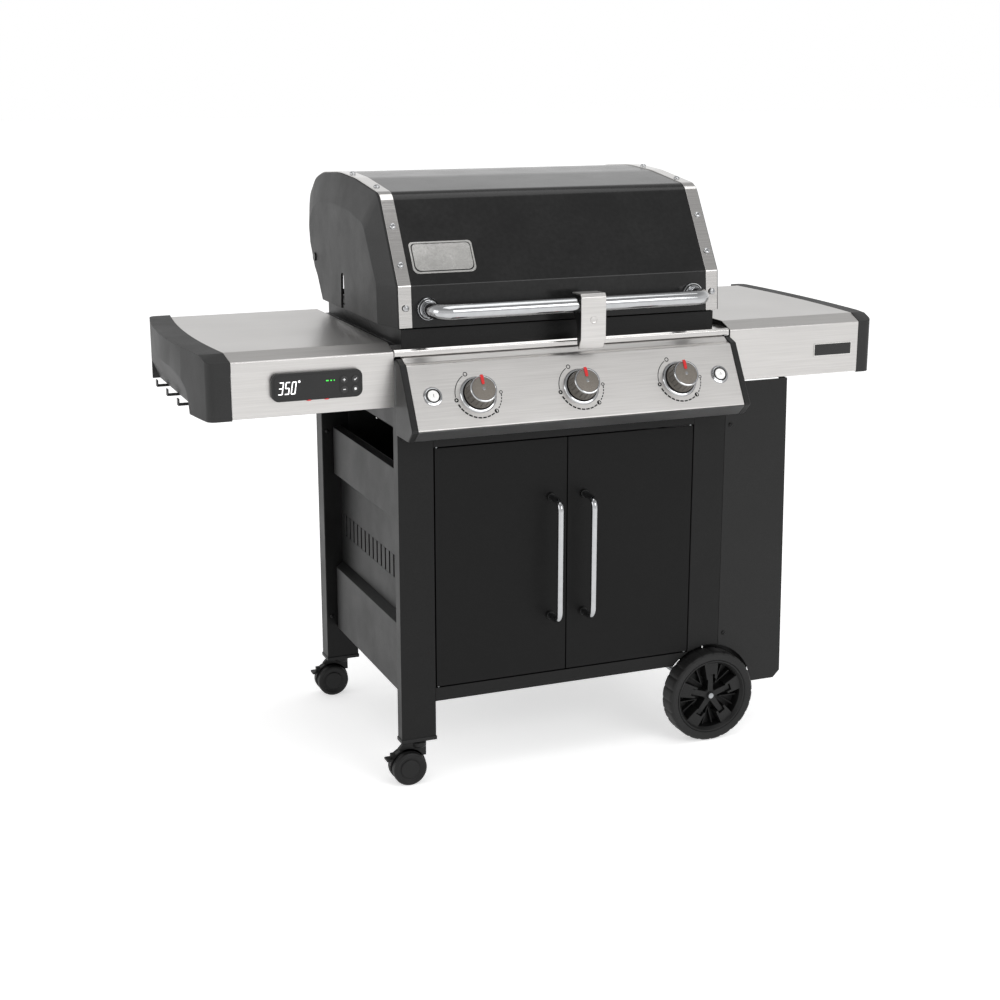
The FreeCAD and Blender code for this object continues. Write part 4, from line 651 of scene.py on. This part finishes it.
# Enamelled cast iron: glossy black glass over a rough casting.
grate_enamel = grained("grate_enamel", "#0E0E0E", "#191919", 4.0, 0.5, {"Coat Weight": 0.3}, (0.2, 0.35))
dress(grate_enamel, 1.5, "left_grate", "right_grate")
# Heat-stained stainless steel: straw and brown tints where flames play on it.
STAIN_SIZE = 140
stained, tree, shader = new_finish("heat_stained_steel", {"Metallic": 1.0})
spot = add(tree, "TexCoord").outputs["Object"]
stain = add(tree, "TexNoise", {"Vector": spot, "Scale": 1000 / STAIN_SIZE, "Detail": 4})
tone = add(tree, "ValToRGB", {"Fac": stain.outputs["Fac"]})
tone.color_ramp.elements[0].color = linear("#8E8A86")
tone.color_ramp.elements[1].color = linear("#B5AFA6")
tone.color_ramp.elements.new(0.5).color = linear("#A48F70")
rough = add(tree, "MapRange", {"Value": stain.outputs["Fac"], "To Min": 0.3, "To Max": 0.55})
drive(tree, shader, tone.outputs[0], rough.outputs[0])
dress(stained, 0, "heat_plates", "burners")
dress(zinc, 0, "warming_rack", "gas_manifold")
dress(zinc, 0.8, "grease_tray")

# ---------------------------------------------------------------- control panel
# The fascia is one stainless sheet: a ledge and a rolled lip under the lid, a cove, and the
# face that leans back by 30 degrees. Cast brackets hold its ends, and a grey strip closes it below.
FACE_LOW, FACE_HIGH = (-385, 765.4), (-317, 882.6)


def face_y(z):
    """How far forward the leaning face is at a height."""
    share = (FACE_HIGH[1] - z) / (FACE_HIGH[1] - FACE_LOW[1])
    return FACE_HIGH[0] + share * (FACE_LOW[0] - FACE_HIGH[0])


def on_face(x, z):
    """A drawing plane on the leaning face."""
    return stand(x, face_y(z), z, (1, 0, 0), (0, FACE_HIGH[0] - FACE_LOW[0], FACE_HIGH[1] - FACE_LOW[1]))


def across(path, radii, half):
    """Run a folded side profile across the grill, as rows of three points."""
    line = rounded(path, radii, closed=False, steps=5)
    return [[at(x, y, z) for x in (-half, 0, half)] for y, z in line]


# Polished stainless steel, on the ledge and the lid's bands: it mirrors the black parts near it.
polished = brushed("polished_stainless", "#BCBAB8", "#CAC8C6", (0.1, 0.18))
PANEL_HALF, FACE_HALF = 368.8, 355.2
LEDGE = across([(-232, 909.5), (-283, 908.5), (-287.5, 905), (-287.5, 894.5), (-283, 893)],
               [0, 3, 3, 2, 0], 369)
fit(folded("panel_lip", LEDGE, 1.2, -1, polished), "cart", "stainless")
FASCIA = across([(-283, 893.5), (-292, 892.5), (-306, 884.2), (-317.5, 881.8), (-385, 765.4), (-382, 762)],
                [0, 4, 12, 4, 2.5, 0], FACE_HALF)
fit(folded("panel_fascia", FASCIA, 1.5, -1, stainless), "cart", "stainless", "control_panel")
# Bracket paint: satin dark grey on die-cast aluminium, which softens the light along its bevels.
bracket_paint = grained("bracket_paint", "#141414", "#1D1D1D", 2.5, 0.3,
                        {"Specular IOR Level": 0.25}, (0.36, 0.48))
side_view = stand(0, 0, 0, (0, 1, 0), (0, 0, 1))
BRACKET = rounded([(-290, 741), (-290, 893), (-318, 884), (-387.5, 765), (-362, 741)],
                  [0, 3, 5, 5, 6], steps=4)
brackets = bmesh.new()
for x0, x1 in ((-PANEL_HALF, -FACE_HALF), (FACE_HALF, PANEL_HALF)):
    prism(brackets, side_view, BRACKET, x0, x1)
fit(soften(made("panel_brackets", brackets, bracket_paint), 2.0, 3), "cart", "cast_lid", "panel_ends")
# Strip paint: smooth mid grey on the extruded strip below, shinier than the brackets.
strip_grey = grained("strip_grey_paint", "#303030", "#3A3A3A", 4, 0.1, {}, (0.3, 0.4))
STRIP = [(-384, 765), (-386.5, 763), (-362.5, 741.5), (-337, 741.5), (-337, 745), (-361, 745), (-381, 763)]
strip = bmesh.new()
prism(strip, side_view, STRIP, -FACE_HALF, FACE_HALF)
fit(soften(made("panel_strip", strip, strip_grey), 0.6), "cart", "panel_grey", "panel_trim")

# Dial marks are printed round each knob: a thin arc from the lighting mark to high, then
# thicker dashes down to low.
# Printing ink: baked black enamel ink, matt against the brushed steel.
dial_ink = grained("dial_ink", "#0A0A0A", "#101010", 3, 0.05, {"Specular IOR Level": 0.2}, (0.6, 0.7))


def arc(shape, place, radius, width, start, end):
    """A curved bar of print between two angles in degrees."""
    steps = max(2, int(abs(end - start) / 5))
    outline = []
    for r, sweep in ((radius - width / 2, range(steps + 1)), (radius + width / 2, range(steps, -1, -1))):
        for k in sweep:
            angle = math.radians(start + (end - start) * k / steps)
            outline.append((r * math.cos(angle), r * math.sin(angle)))
    prism(shape, place, outline, 0, MARK_HIGH)


DIAL, MARK_HIGH = 47.7, 0.25
KNOBS = (("left", -220), ("middle", 0), ("right", 220))
KNOB_Z = 822.3
dials = bmesh.new()
for _, x in KNOBS:
    plane = on_face(x, KNOB_Z)
    arc(dials, plane, DIAL, 1.6, 122, 183)
    for k in range(9):
        start = 201 + 11.6 * k
        arc(dials, plane, DIAL, 3.4 - 0.12 * k, start, start + 9)
    for k in range(5):
        arc(dials, plane, DIAL, 2.0, 320 + 8 * k, 325 + 8 * k)
    for angle, inner, outer in ((190, 1.8, 4.4), (114, 3.0, 4.6), (311, 3.0, 4.6), (2, 2.2, 3.6)):
        spot = plane @ Matrix.Translation((DIAL * math.cos(math.radians(angle)),
                                           DIAL * math.sin(math.radians(angle)), 0))
        ring = [(inner, 0), (inner, MARK_HIGH), (outer, MARK_HIGH), (outer, 0)]
        turned(dials, spot, ring, 24, 0, False, True)
        if angle == 311:
            arc(dials, spot, 1.5, 3.0, 100, 280)
fit(made("dial_marks", dials, dial_ink), "cart", "stainless")

# ---------------------------------------------------------------- knobs
# Each knob is moulded with 18 shallow grips and set in a fixed bezel; a bright ring holds its
# warm grey disc, and a red pointer runs from the rim.
# Knob paint: metallic warm grey on plastic, which looks like pewter; the skirt has the same paint drawn
# darker, as painted shade on the knob's sides.
knob_grey = grained("knob_pewter_paint", "#625D56", "#767069", 2.0, 0.3, {"Metallic": 0.35}, (0.4, 0.5))
knob_skirt_shaded = grained("knob_skirt_painted_shade", "#55514C", "#66625C", 2.0, 0.3, {"Metallic": 0.3}, (0.38, 0.48))
# Pointer lacquer: a clear red, glossier than the disc it lies on.
pointer_red = grained("pointer_red", "#B40A0F", "#CC1015", 3, 0.1, {"Coat Weight": 0.2}, (0.3, 0.4))
BEZEL = [(26, 0), (26, 2.2), (31.5, 2.2), (33, 3.4), (35.5, 3.0), (37.5, 1.2), (38, 0)]
SKIRT = [(29.2, 3.6), (30.2, 4.4), (30.4, 8.0), (29.6, 9.4), (29.2, 12.0), (28.2, 29.0), (27.6, 31.0),
         (27.0, 31.8)]
# A blackened ring in each bezel, round the knob's foot, is painted shade for the gap between knob and bezel.
BEZEL_GAP_SHADE = [(28, 2.3), (28, 3.0), (32, 3.0), (32, 2.3)]
KNOB_RING = [(27.2, 31.0), (27.4, 33.4), (26.4, 35.0), (24.6, 35.2), (23.6, 34.2), (23.6, 31.5)]
KNOB_DISC = [(23.6, 31.5), (23.6, 34.0), (22.6, 34.5), (12, 34.9), (3, 35)]
KNOB_STUD = [(3.2, 34.9), (3.2, 35.2), (2.4, 35.3)]
POINTER = rounded([(-3.0, 8.5), (3.0, 8.5), (3.2, 26.6), (-3.2, 26.6)], 2.4, steps=4)
POINTER_TIP = rounded([(-3.1, 24), (3.1, 24), (3.1, 28.6), (-3.1, 28.6)], 1, steps=3)
for name, x in KNOBS:
    plane = on_face(x, KNOB_Z)
    bezel = bmesh.new()
    turned(bezel, plane, BEZEL, 72, 0, False, True)
    turned(bezel, plane, BEZEL_GAP_SHADE, 72, 1, False, True)
    fit(made(name + "_knob_bezel", bezel, chrome, blackened), "cart", "chrome")
    knob = bmesh.new()
    turned(knob, plane, SKIRT, 144, 1, True, False, (8, 1.5, 3, 6))
    turned(knob, plane, KNOB_RING, 96, 2, False, True)
    turned(knob, plane, KNOB_DISC, 96, 0)
    turned(knob, plane, KNOB_STUD, 24, 2)
    prism(knob, plane, POINTER, 34, 36.4, 3)
    prism(knob, plane, POINTER_TIP, 24, 35.2, 3)
    grip = made(name + "_knob_grip", knob, knob_grey, knob_skirt_shaded, chrome, pointer_red)
    fit(soften(grip, 0.5), name + "_knob", "knob_plastic", name + "_knob")

# Two push buttons, for the spark and the lights, stand in chromed bezels beside the knobs.
# Button plastic: white ABS, polished in the mould, clean and evenly bright.
button_white = grained("button_white_abs", "#E4E4E2", "#F2F2F0", 3, 0.05, {"IOR": 1.54}, (0.2, 0.3))
BUTTON_X, BUTTON_Z = 313.5, 825
BUTTON_RIM = [(12.2, 0), (12.2, 3.2), (14.6, 3.6), (16.2, 3.0), (17, 1.9), (18.8, 1.6), (19.6, 0)]
BUTTON_SEAT = [(12.0, 0), (12.0, 3.5), (14.2, 3.9), (14.8, 3.4), (14.8, 0)]
BUTTON_CAP = [(11.4, -3), (11.4, 4.0), (10.6, 5.0), (8.8, 5.4), (4.0, 5.7)]
MARK_TOP = 5.85
for sign, side in ((-1, "left"), (1, "right")):
    plane = on_face(sign * BUTTON_X, BUTTON_Z)
    bezel = bmesh.new()
    turned(bezel, plane, BUTTON_RIM, 60, 0, False, True)
    turned(bezel, plane, BUTTON_SEAT, 60, 1, False, True)
    fit(made(side + "_button_bezel", bezel, chrome, blackened), "cart", "chrome")
    push = bmesh.new()
    turned(push, plane, BUTTON_CAP, 48)
    if sign < 0:
        prism(push, plane, [(-0.5, -3), (0.5, -3), (0.5, 3), (-0.5, 3)], 5.6, MARK_TOP, 1)
    else:
        for u, v in ((0, 1.6), (-1.6, -1.2), (1.6, -1.2)):
            spot = plane @ Matrix.Translation((u, v, 0))
            turned(push, spot, [(0.8, 5.5), (0.8, MARK_TOP)], 12, 1)
    fit(made(side + "_push_cap", push, button_white, strip_grey), side + "_push_button", "chrome",
        side + "_push_button")

# ---------------------------------------------------------------- lid
# The lid is a steel sheet bent over two cast ends and enamelled black. Polished steel bands
# cover the joints and are bolted through with domed bolts.
# Porcelain enamel: fired black glass, nearly a mirror, with an orange-peel ripple of 9 mm.
enamel = grained("black_porcelain_enamel", "#181818", "#1F1F1F", 9.0, 0.03,
                 {"IOR": 1.52, "Specular IOR Level": 0.24}, (0.16, 0.22))
LID_PATH = [(-264.5, 946), (-259, 1027), (-153.7, 1196.6), (0, 1216.8), (110, 1222.8), (235, 1215),
            (285, 1201), (330, 1165), (342, 1135), (326, 1064)]
LID_RADII = [0, 5, 34, 400, 500, 160, 60, 40, 30, 0]
LID_HALF, LID_SHEET = 347, 1.2
shell = folded("lid_shell", across(LID_PATH, LID_RADII, LID_HALF), LID_SHEET, 1, enamel, 0.4)
fit(shell, "lid", "enamel", "lid_panel")

# The trim bands are 26 mm wide and end behind the top.
BAND_IN, BAND_OUT, BAND_END = 324, 350.5, 287
lid_line = rounded(LID_PATH, LID_RADII, closed=False, steps=5)


def grown(line, amount):
    """The same side profile, moved outwards."""
    moved = []
    for i, point in enumerate(line):
        run = (line[min(i + 1, len(line) - 1)] - line[max(i - 1, 0)]).normalized()
        moved.append(point + Vector((-run.y, run.x)) * amount)
    return moved


band_run = [p for p in lid_line if p.x < BAND_END]
bands = bmesh.new()
for x0, x1 in ((-BAND_OUT, -BAND_IN), (BAND_IN, BAND_OUT)):
    rings = []
    for low, high in zip(grown(band_run, 0.2), grown(band_run, 2.6)):
        rings.append([at(x, *p) for x, p in ((x0, low), (x1, low), (x1, high), (x0, high))])
    loft(bands, rings)
fit(soften(made("lid_bands", bands, polished), 0.7), "lid", "chrome", "lid_trim_bands")

# The bolts are button heads with a socket, five to a band: each one's place and its tilt.
BOLT_X, BOLT_HEAD = 337, [(6.6, 0), (6.6, 1.0), (6.0, 2.4), (4.8, 3.4), (3.2, 3.8), (2.9, 3.4), (2.8, 2.0)]
BOLTS = ((-267, 985, 88), (-238.5, 1066, 58), (-194, 1137, 58), (-97, 1206.5, 8), (62, 1223.5, 3))
bolts = bmesh.new()
for y, z, tilt in BOLTS:
    tilt = math.radians(tilt)
    away = Vector((0, -math.sin(tilt), math.cos(tilt)))
    for x in (-BOLT_X, BOLT_X):
        turned(bolts, stand(x, y, z, (1, 0, 0), away.cross(Vector((1, 0, 0)))), BOLT_HEAD, 24)
fit(made("lid_bolt_heads", bolts, chrome), "lid", "chrome", "lid_bolts")

# End castings: aluminium, sand cast, with a broad bevel round a raised face and a notch for a
# spit. Painted with satin heat paint, a shade lighter than the enamel.
end_paint = grained("lid_casting_paint", "#181818", "#222222", 3.0, 0.35,
                    {"Specular IOR Level": 0.35}, (0.42, 0.54))
RIM = LID_PATH + [(266, 1006), (236, 988), (200, 946)]
RIM_RADII = [0, 8, 34, 400, 500, 160, 60, 40, 30, 8, 12, 10, 0]
FACET = [(-196, 946), (-191, 1024), (-112, 1136), (-20, 1156), (100, 1163), (215, 1156), (252, 1140),
         (279, 1116), (286, 1098), (279, 1062), (248, 1012), (228, 995), (192, 946)]
FACET_RADII = [0, 14, 40, 300, 300, 120, 60, 40, 30, 10, 12, 10, 0]
# Each layer of the casting: how far out it lies, its outline, and how far it is drawn in.
LAYERS = ((LID_HALF, RIM, RIM_RADII, 0), (352, RIM, RIM_RADII, 0), (354, RIM, RIM_RADII, 1.5),
          (371.2, FACET, FACET_RADII, 0), (372, FACET, FACET_RADII, 4))
END_MIDDLE, LID_LOW = Vector((40, 1060)), 946
HOLLOW = [(-190, 930), (-185, 1020), (-110, 1120), (110, 1142), (222, 1126), (214, 1074), (214, 1014),
          (180, 930)]
NOTCH = rounded([(24, 930), (52, 930), (47, 1021), (29, 1021)], [0, 0, 8, 8], steps=5)
for sign, side in ((-1, "left"), (1, "right")):
    casting = bmesh.new()
    rings = []
    for x, outline, radii, inset in LAYERS:
        ring = []
        for p in rounded(outline, radii, steps=5):
            inward = (END_MIDDLE - p).normalized() * inset
            ring.append(side_view @ Vector((p.x + inward.x, max(p.y + inward.y, LID_LOW), sign * x)))
        rings.append(ring)
    loft(casting, rings)
    piece = made(side + "_lid_casting", casting, end_paint)
    for name, outline, near, far in (("hollow", HOLLOW, 346, 367), ("notch", NOTCH, 345, 380)):
        cutter = bmesh.new()
        prism(cutter, side_view, outline, *sorted((sign * near, sign * far)))
        piece = cut(piece, made(name, cutter))
    piece.name = side + "_lid_casting"
    fit(soften(piece, 1.2, 2), "lid", "cast_lid", "lid_%s_end" % side)

# Hinge pins: steel, with a domed head in a shallow well of the casting.
dress(blackened, 0.8, "lid_hinge_pins")

# A blank plate with a raised rim sits on the sloping front.
slope = Vector((0, 95, 153)).normalized()
plane = stand(-246.5, -228.2, 1076.5, (1, 0, 0), slope)
PLATE_STEPS = ((66, 34, -0.5, 2.0, 0), (62.5, 30.5, 2.0, 2.4, 1), (60.5, 28.5, 2.4, 3.2, 0))
plate = bmesh.new()
for half_u, half_v, low, high, tint in PLATE_STEPS:
    corners = [(-half_u, -half_v), (half_u, -half_v), (half_u, half_v), (-half_u, half_v)]
    prism(plate, plane, rounded(corners, [12, 12, 8, 8]), low, high, tint)
fit(soften(made("lid_plate", plate, plate_rim, plate_black), 0.5), "lid", "chrome")

# ---------------------------------------------------------------- lid handle and its light
# The handle is a 30 mm chromed tube, bent back at both ends into ringed bases. A lamp housing
# is clamped round it; its silver front carries one round button.
GRIP_X, GRIP_IN, GRIP_OUT, GRIP_Z, GRIP_ROD, GRIP_BEND = 291, -268, -328, 982, 15, 40
grip = bmesh.new()
tube(grip, [(-GRIP_X, GRIP_IN, GRIP_Z), (-GRIP_X, GRIP_OUT, GRIP_Z), (GRIP_X, GRIP_OUT, GRIP_Z),
            (GRIP_X, GRIP_IN, GRIP_Z)], GRIP_ROD, GRIP_BEND, 40)
fit(made("lid_handle_tube", grip, chrome), "lid", "chrome", "lid_handle")
# Each base is a chromed collar and ring; the groove between them is a flat blackened ring, painted shade.
BASE_RINGS = (([(GRIP_ROD, 0), (GRIP_ROD, 7.5), (17, 8.2), (18.2, 7.2), (18.4, 4.2)], 0),
              ([(18.4, 4.2), (19.6, 4.0), (20.2, 4.2)], 1),
              ([(20.2, 4.2), (20.6, 5.6), (22, 5.8), (23, 4.0), (23.2, -2)], 0))
bases = bmesh.new()
for x in (-GRIP_X, GRIP_X):
    for profile, tint in BASE_RINGS:
        turned(bases, stand(x, -264, GRIP_Z, (1, 0, 0), (0, 0, 1)), profile, 56, tint, False)
fit(made("handle_rings", bases, chrome, blackened), "lid", "chrome", "handle_bases")

# Lamp paint: silver with a fine streak, sprayed on the front shell to match the steel. The
# clamp behind it is dark grey.
silver_paint = brushed("silver_lamp_shell", "#BAB8B6", "#C8C6C4", (0.34, 0.44))
cover = bmesh.new()
COVER = [(-350, 916), (-350, 999), (-345, 1006), (-305, 1005), (-305, 1001.5), (-343, 1002.2),
         (-346.5, 998), (-346.5, 915), (-336, 899.5), (-336, 895), (-339, 895)]
prism(cover, side_view, COVER, -0.5, 53.5)
fit(soften(made("lamp_cover", cover, silver_paint), 1.0, 3), "lid", "light_shell")
clamp = bmesh.new()
CLAMP = [(-346, 914), (-346, 998), (-342.5, 1001), (-308, 1000.5), (-304.5, 992), (-304.5, 966),
         (-324, 942), (-327, 900), (-336, 898)]
prism(clamp, side_view, rounded(CLAMP, 2, steps=3), 1.5, 51.5)
grip_cut = bmesh.new()
turned(grip_cut, stand(0, GRIP_OUT, GRIP_Z, (0, 1, 0), (0, 0, 1)), [(15.1, -10), (15.1, 65)], 40)
lamp = cut(made("lamp_clamp", clamp, bracket_paint), made("grip_cut", grip_cut))
lamp.name = "lamp_clamp"
fit(soften(lamp, 1.2), "lid", "light_shell", "handle_light")
press = bmesh.new()
plane = stand(26.5, -349.6, 954, (1, 0, 0), (0, 0, 1))
turned(press, plane, [(7.6, -2), (7.6, 0.9), (7.0, 1.4), (6.6, 1.1), (3.0, 0.7)], 36)
fit(made("lamp_press", press, silver_paint), "light_button", "light_shell", "light_button")

# ---------------------------------------------------------------- wheels
# Two moulded wheels: five broad spokes and a finger of the hub in each stand on a thin web, and
# a solid tyre runs round them.
# Tyre: hard polyethylene, worn dull on the tread.
tyre = grained("tyre_polyethylene", "#121212", "#1B1B1B", 2.5, 0.4, {"Specular IOR Level": 0.3}, (0.5, 0.64))
TREAD = [(80, 39), (84, 44), (90, 45.6), (96, 46), (100, 43.5), (101.6, 40), (101.6, 33), (101.6, 13),
         (101.6, 6), (100, 2.5), (96, 0), (84, 1), (80, 7)]
DISH = [(82, 8), (82, 43), (79, 43), (73, 35), (71.5, 13), (9, 13), (9, 9), (73, 9)]
HUB = [(6.1, 2), (17, 2), (15, 33), (12, 36.5), (6.1, 36.5)]
HUB_CAP = [(9, 35), (9, 38), (8, 39), (6.6, 38.6), (6.2, 37.6), (3.6, 39), (1.5, 39.4)]
SPOKE = [(-12.5, 39), (-8.2, 40), (-8.2, 50), (8.2, 50), (8.2, 40), (12.5, 39), (18, 76), (-18, 76)]
SPOKE_IN, SPOKE_TOP, SPOKE_FALL, SPOKE_TAPER = 39, 41.5, 0.12, 0.96
FINGER = [(-6.4, 8), (6.4, 8), (6.0, 48.5), (-6.0, 48.5)]
WHEEL_X, WHEEL_Y, WHEEL_RADIUS, SPOKES, WEB = 341, 273, 101.6, 5, 12.5
for name, facing in (("front", 1), ("rear", -1)):
    plane = stand(WHEEL_X, -facing * WHEEL_Y, WHEEL_RADIUS, (facing, 0, 0), (0, 0, 1))
    wheel = bmesh.new()
    turned(wheel, plane, TREAD, 144, 1, False, True, (6, 1.6, 4, 9))
    turned(wheel, plane, DISH, 96, 0, False, True)
    turned(wheel, plane, HUB, 48, 0, False, True)
    turned(wheel, plane, HUB_CAP, 36, 2)
    for k in range(SPOKES):
        turn = plane @ Matrix.Rotation(2 * math.pi * k / SPOKES, 4, "Z")
        foot = [turn @ Vector((u, v, WEB)) for u, v in SPOKE]
        loft(wheel, [foot, [turn @ Vector((u * SPOKE_TAPER, v, SPOKE_TOP - (v - SPOKE_IN) * SPOKE_FALL))
                            for u, v in SPOKE]])
        prism(wheel, turn, FINGER, WEB, 35.5)
        for sign in (-1, 1):
            rib = [(sign * 16, 24), (sign * 18, 23), (sign * 32, 62), (sign * 30, 64)]
            prism(wheel, turn, rib, 12, 26)
    fit(soften(made(name + "_wheel_moulding", wheel, nylon, tyre, blackened), 1.0), name + "_wheel",
        "wheel_plastic", name + "_wheel")

# ---------------------------------------------------------------- casters
# Twin-wheel casters under the left legs: nylon hoods that swivel on a steel stem, two wheels
# on one axle, and a foot brake at the back.
CASTER_X, CASTER_Y, CASTER_RADIUS, STEM_X, HOOD_HALF = -351, 276, 36, -325, 5
# The hood's arch runs from 20 degrees below the axle, on the stem's side, to 10 above it.
HOOD_ARCH = []
for r, sweep in ((27, range(13)), (39.5, range(12, -1, -1))):
    for k in sweep:
        angle = math.radians(-20 + 190 * k / 12)
        HOOD_ARCH.append((r * math.cos(angle), r * math.sin(angle)))
HOOD_NECK = [(10, 20), (40, 20), (40, 54), (-6, 54), (-20, 40)]
COLLAR = [(13, 76), (15, 78), (15, 86), (12, 89), (7, 89.4)]
SMALL_WHEEL = [(5, 6.2), (33, 6.2), (35.4, 7.5), (CASTER_RADIUS, 9), (CASTER_RADIUS, 12.6), (35.2, 13.2),
               (35.2, 14.2), (CASTER_RADIUS, 14.8), (CASTER_RADIUS, 19), (34.6, 21.4), (31.5, 23),
               (28.5, 22.8), (27, 21.4), (21, 19.8), (20, 21.6), (18.5, 22), (5, 22)]
for name, y in (("front", -CASTER_Y), ("rear", CASTER_Y)):
    hood = bmesh.new()
    plane = stand(CASTER_X, y, CASTER_RADIUS, (1, 0, 0), (0, 0, 1))
    upright = stand(STEM_X, y, 0, (1, 0, 0), (0, 1, 0))
    prism(hood, plane, HOOD_ARCH, -HOOD_HALF, HOOD_HALF)
    prism(hood, plane, HOOD_NECK, -HOOD_HALF, HOOD_HALF)
    turned(hood, upright, COLLAR, 36)
    turned(hood, upright, [(5.5, 76), (5.5, 118)], 24, 1)
    turned(hood, plane, [(11, -5.6), (11, 5.6)], 32)
    fit(soften(made(name + "_caster_hood", hood, nylon, zinc), 0.8), name + "_caster", "wheel_plastic",
        name + "_caster_fork")
    pair = bmesh.new()
    for sign in (-1, 1):
        flat = stand(CASTER_X, y, CASTER_RADIUS, (sign, 0, 0), (0, 0, 1))
        turned(pair, flat, SMALL_WHEEL, 72)
    turned(pair, plane, [(3.9, -8), (3.9, 8)], 20, 1)
    fit(soften(made(name + "_caster_pair", pair, nylon, zinc), 0.5), name + "_caster_wheels",
        "wheel_plastic", name + "_caster_wheels")
    pedal = bmesh.new()
    box(pedal, (-398, -385), (y - 11, y + 11), (54, 59))
    box(pedal, (-388, -378.5), (y - 4.5, y + 4.5), (55, 69))
    fit(soften(made(name + "_brake_pedal", pedal, nylon), 1.2), name + "_caster_brake", "wheel_plastic",
        name + "_caster_brake")
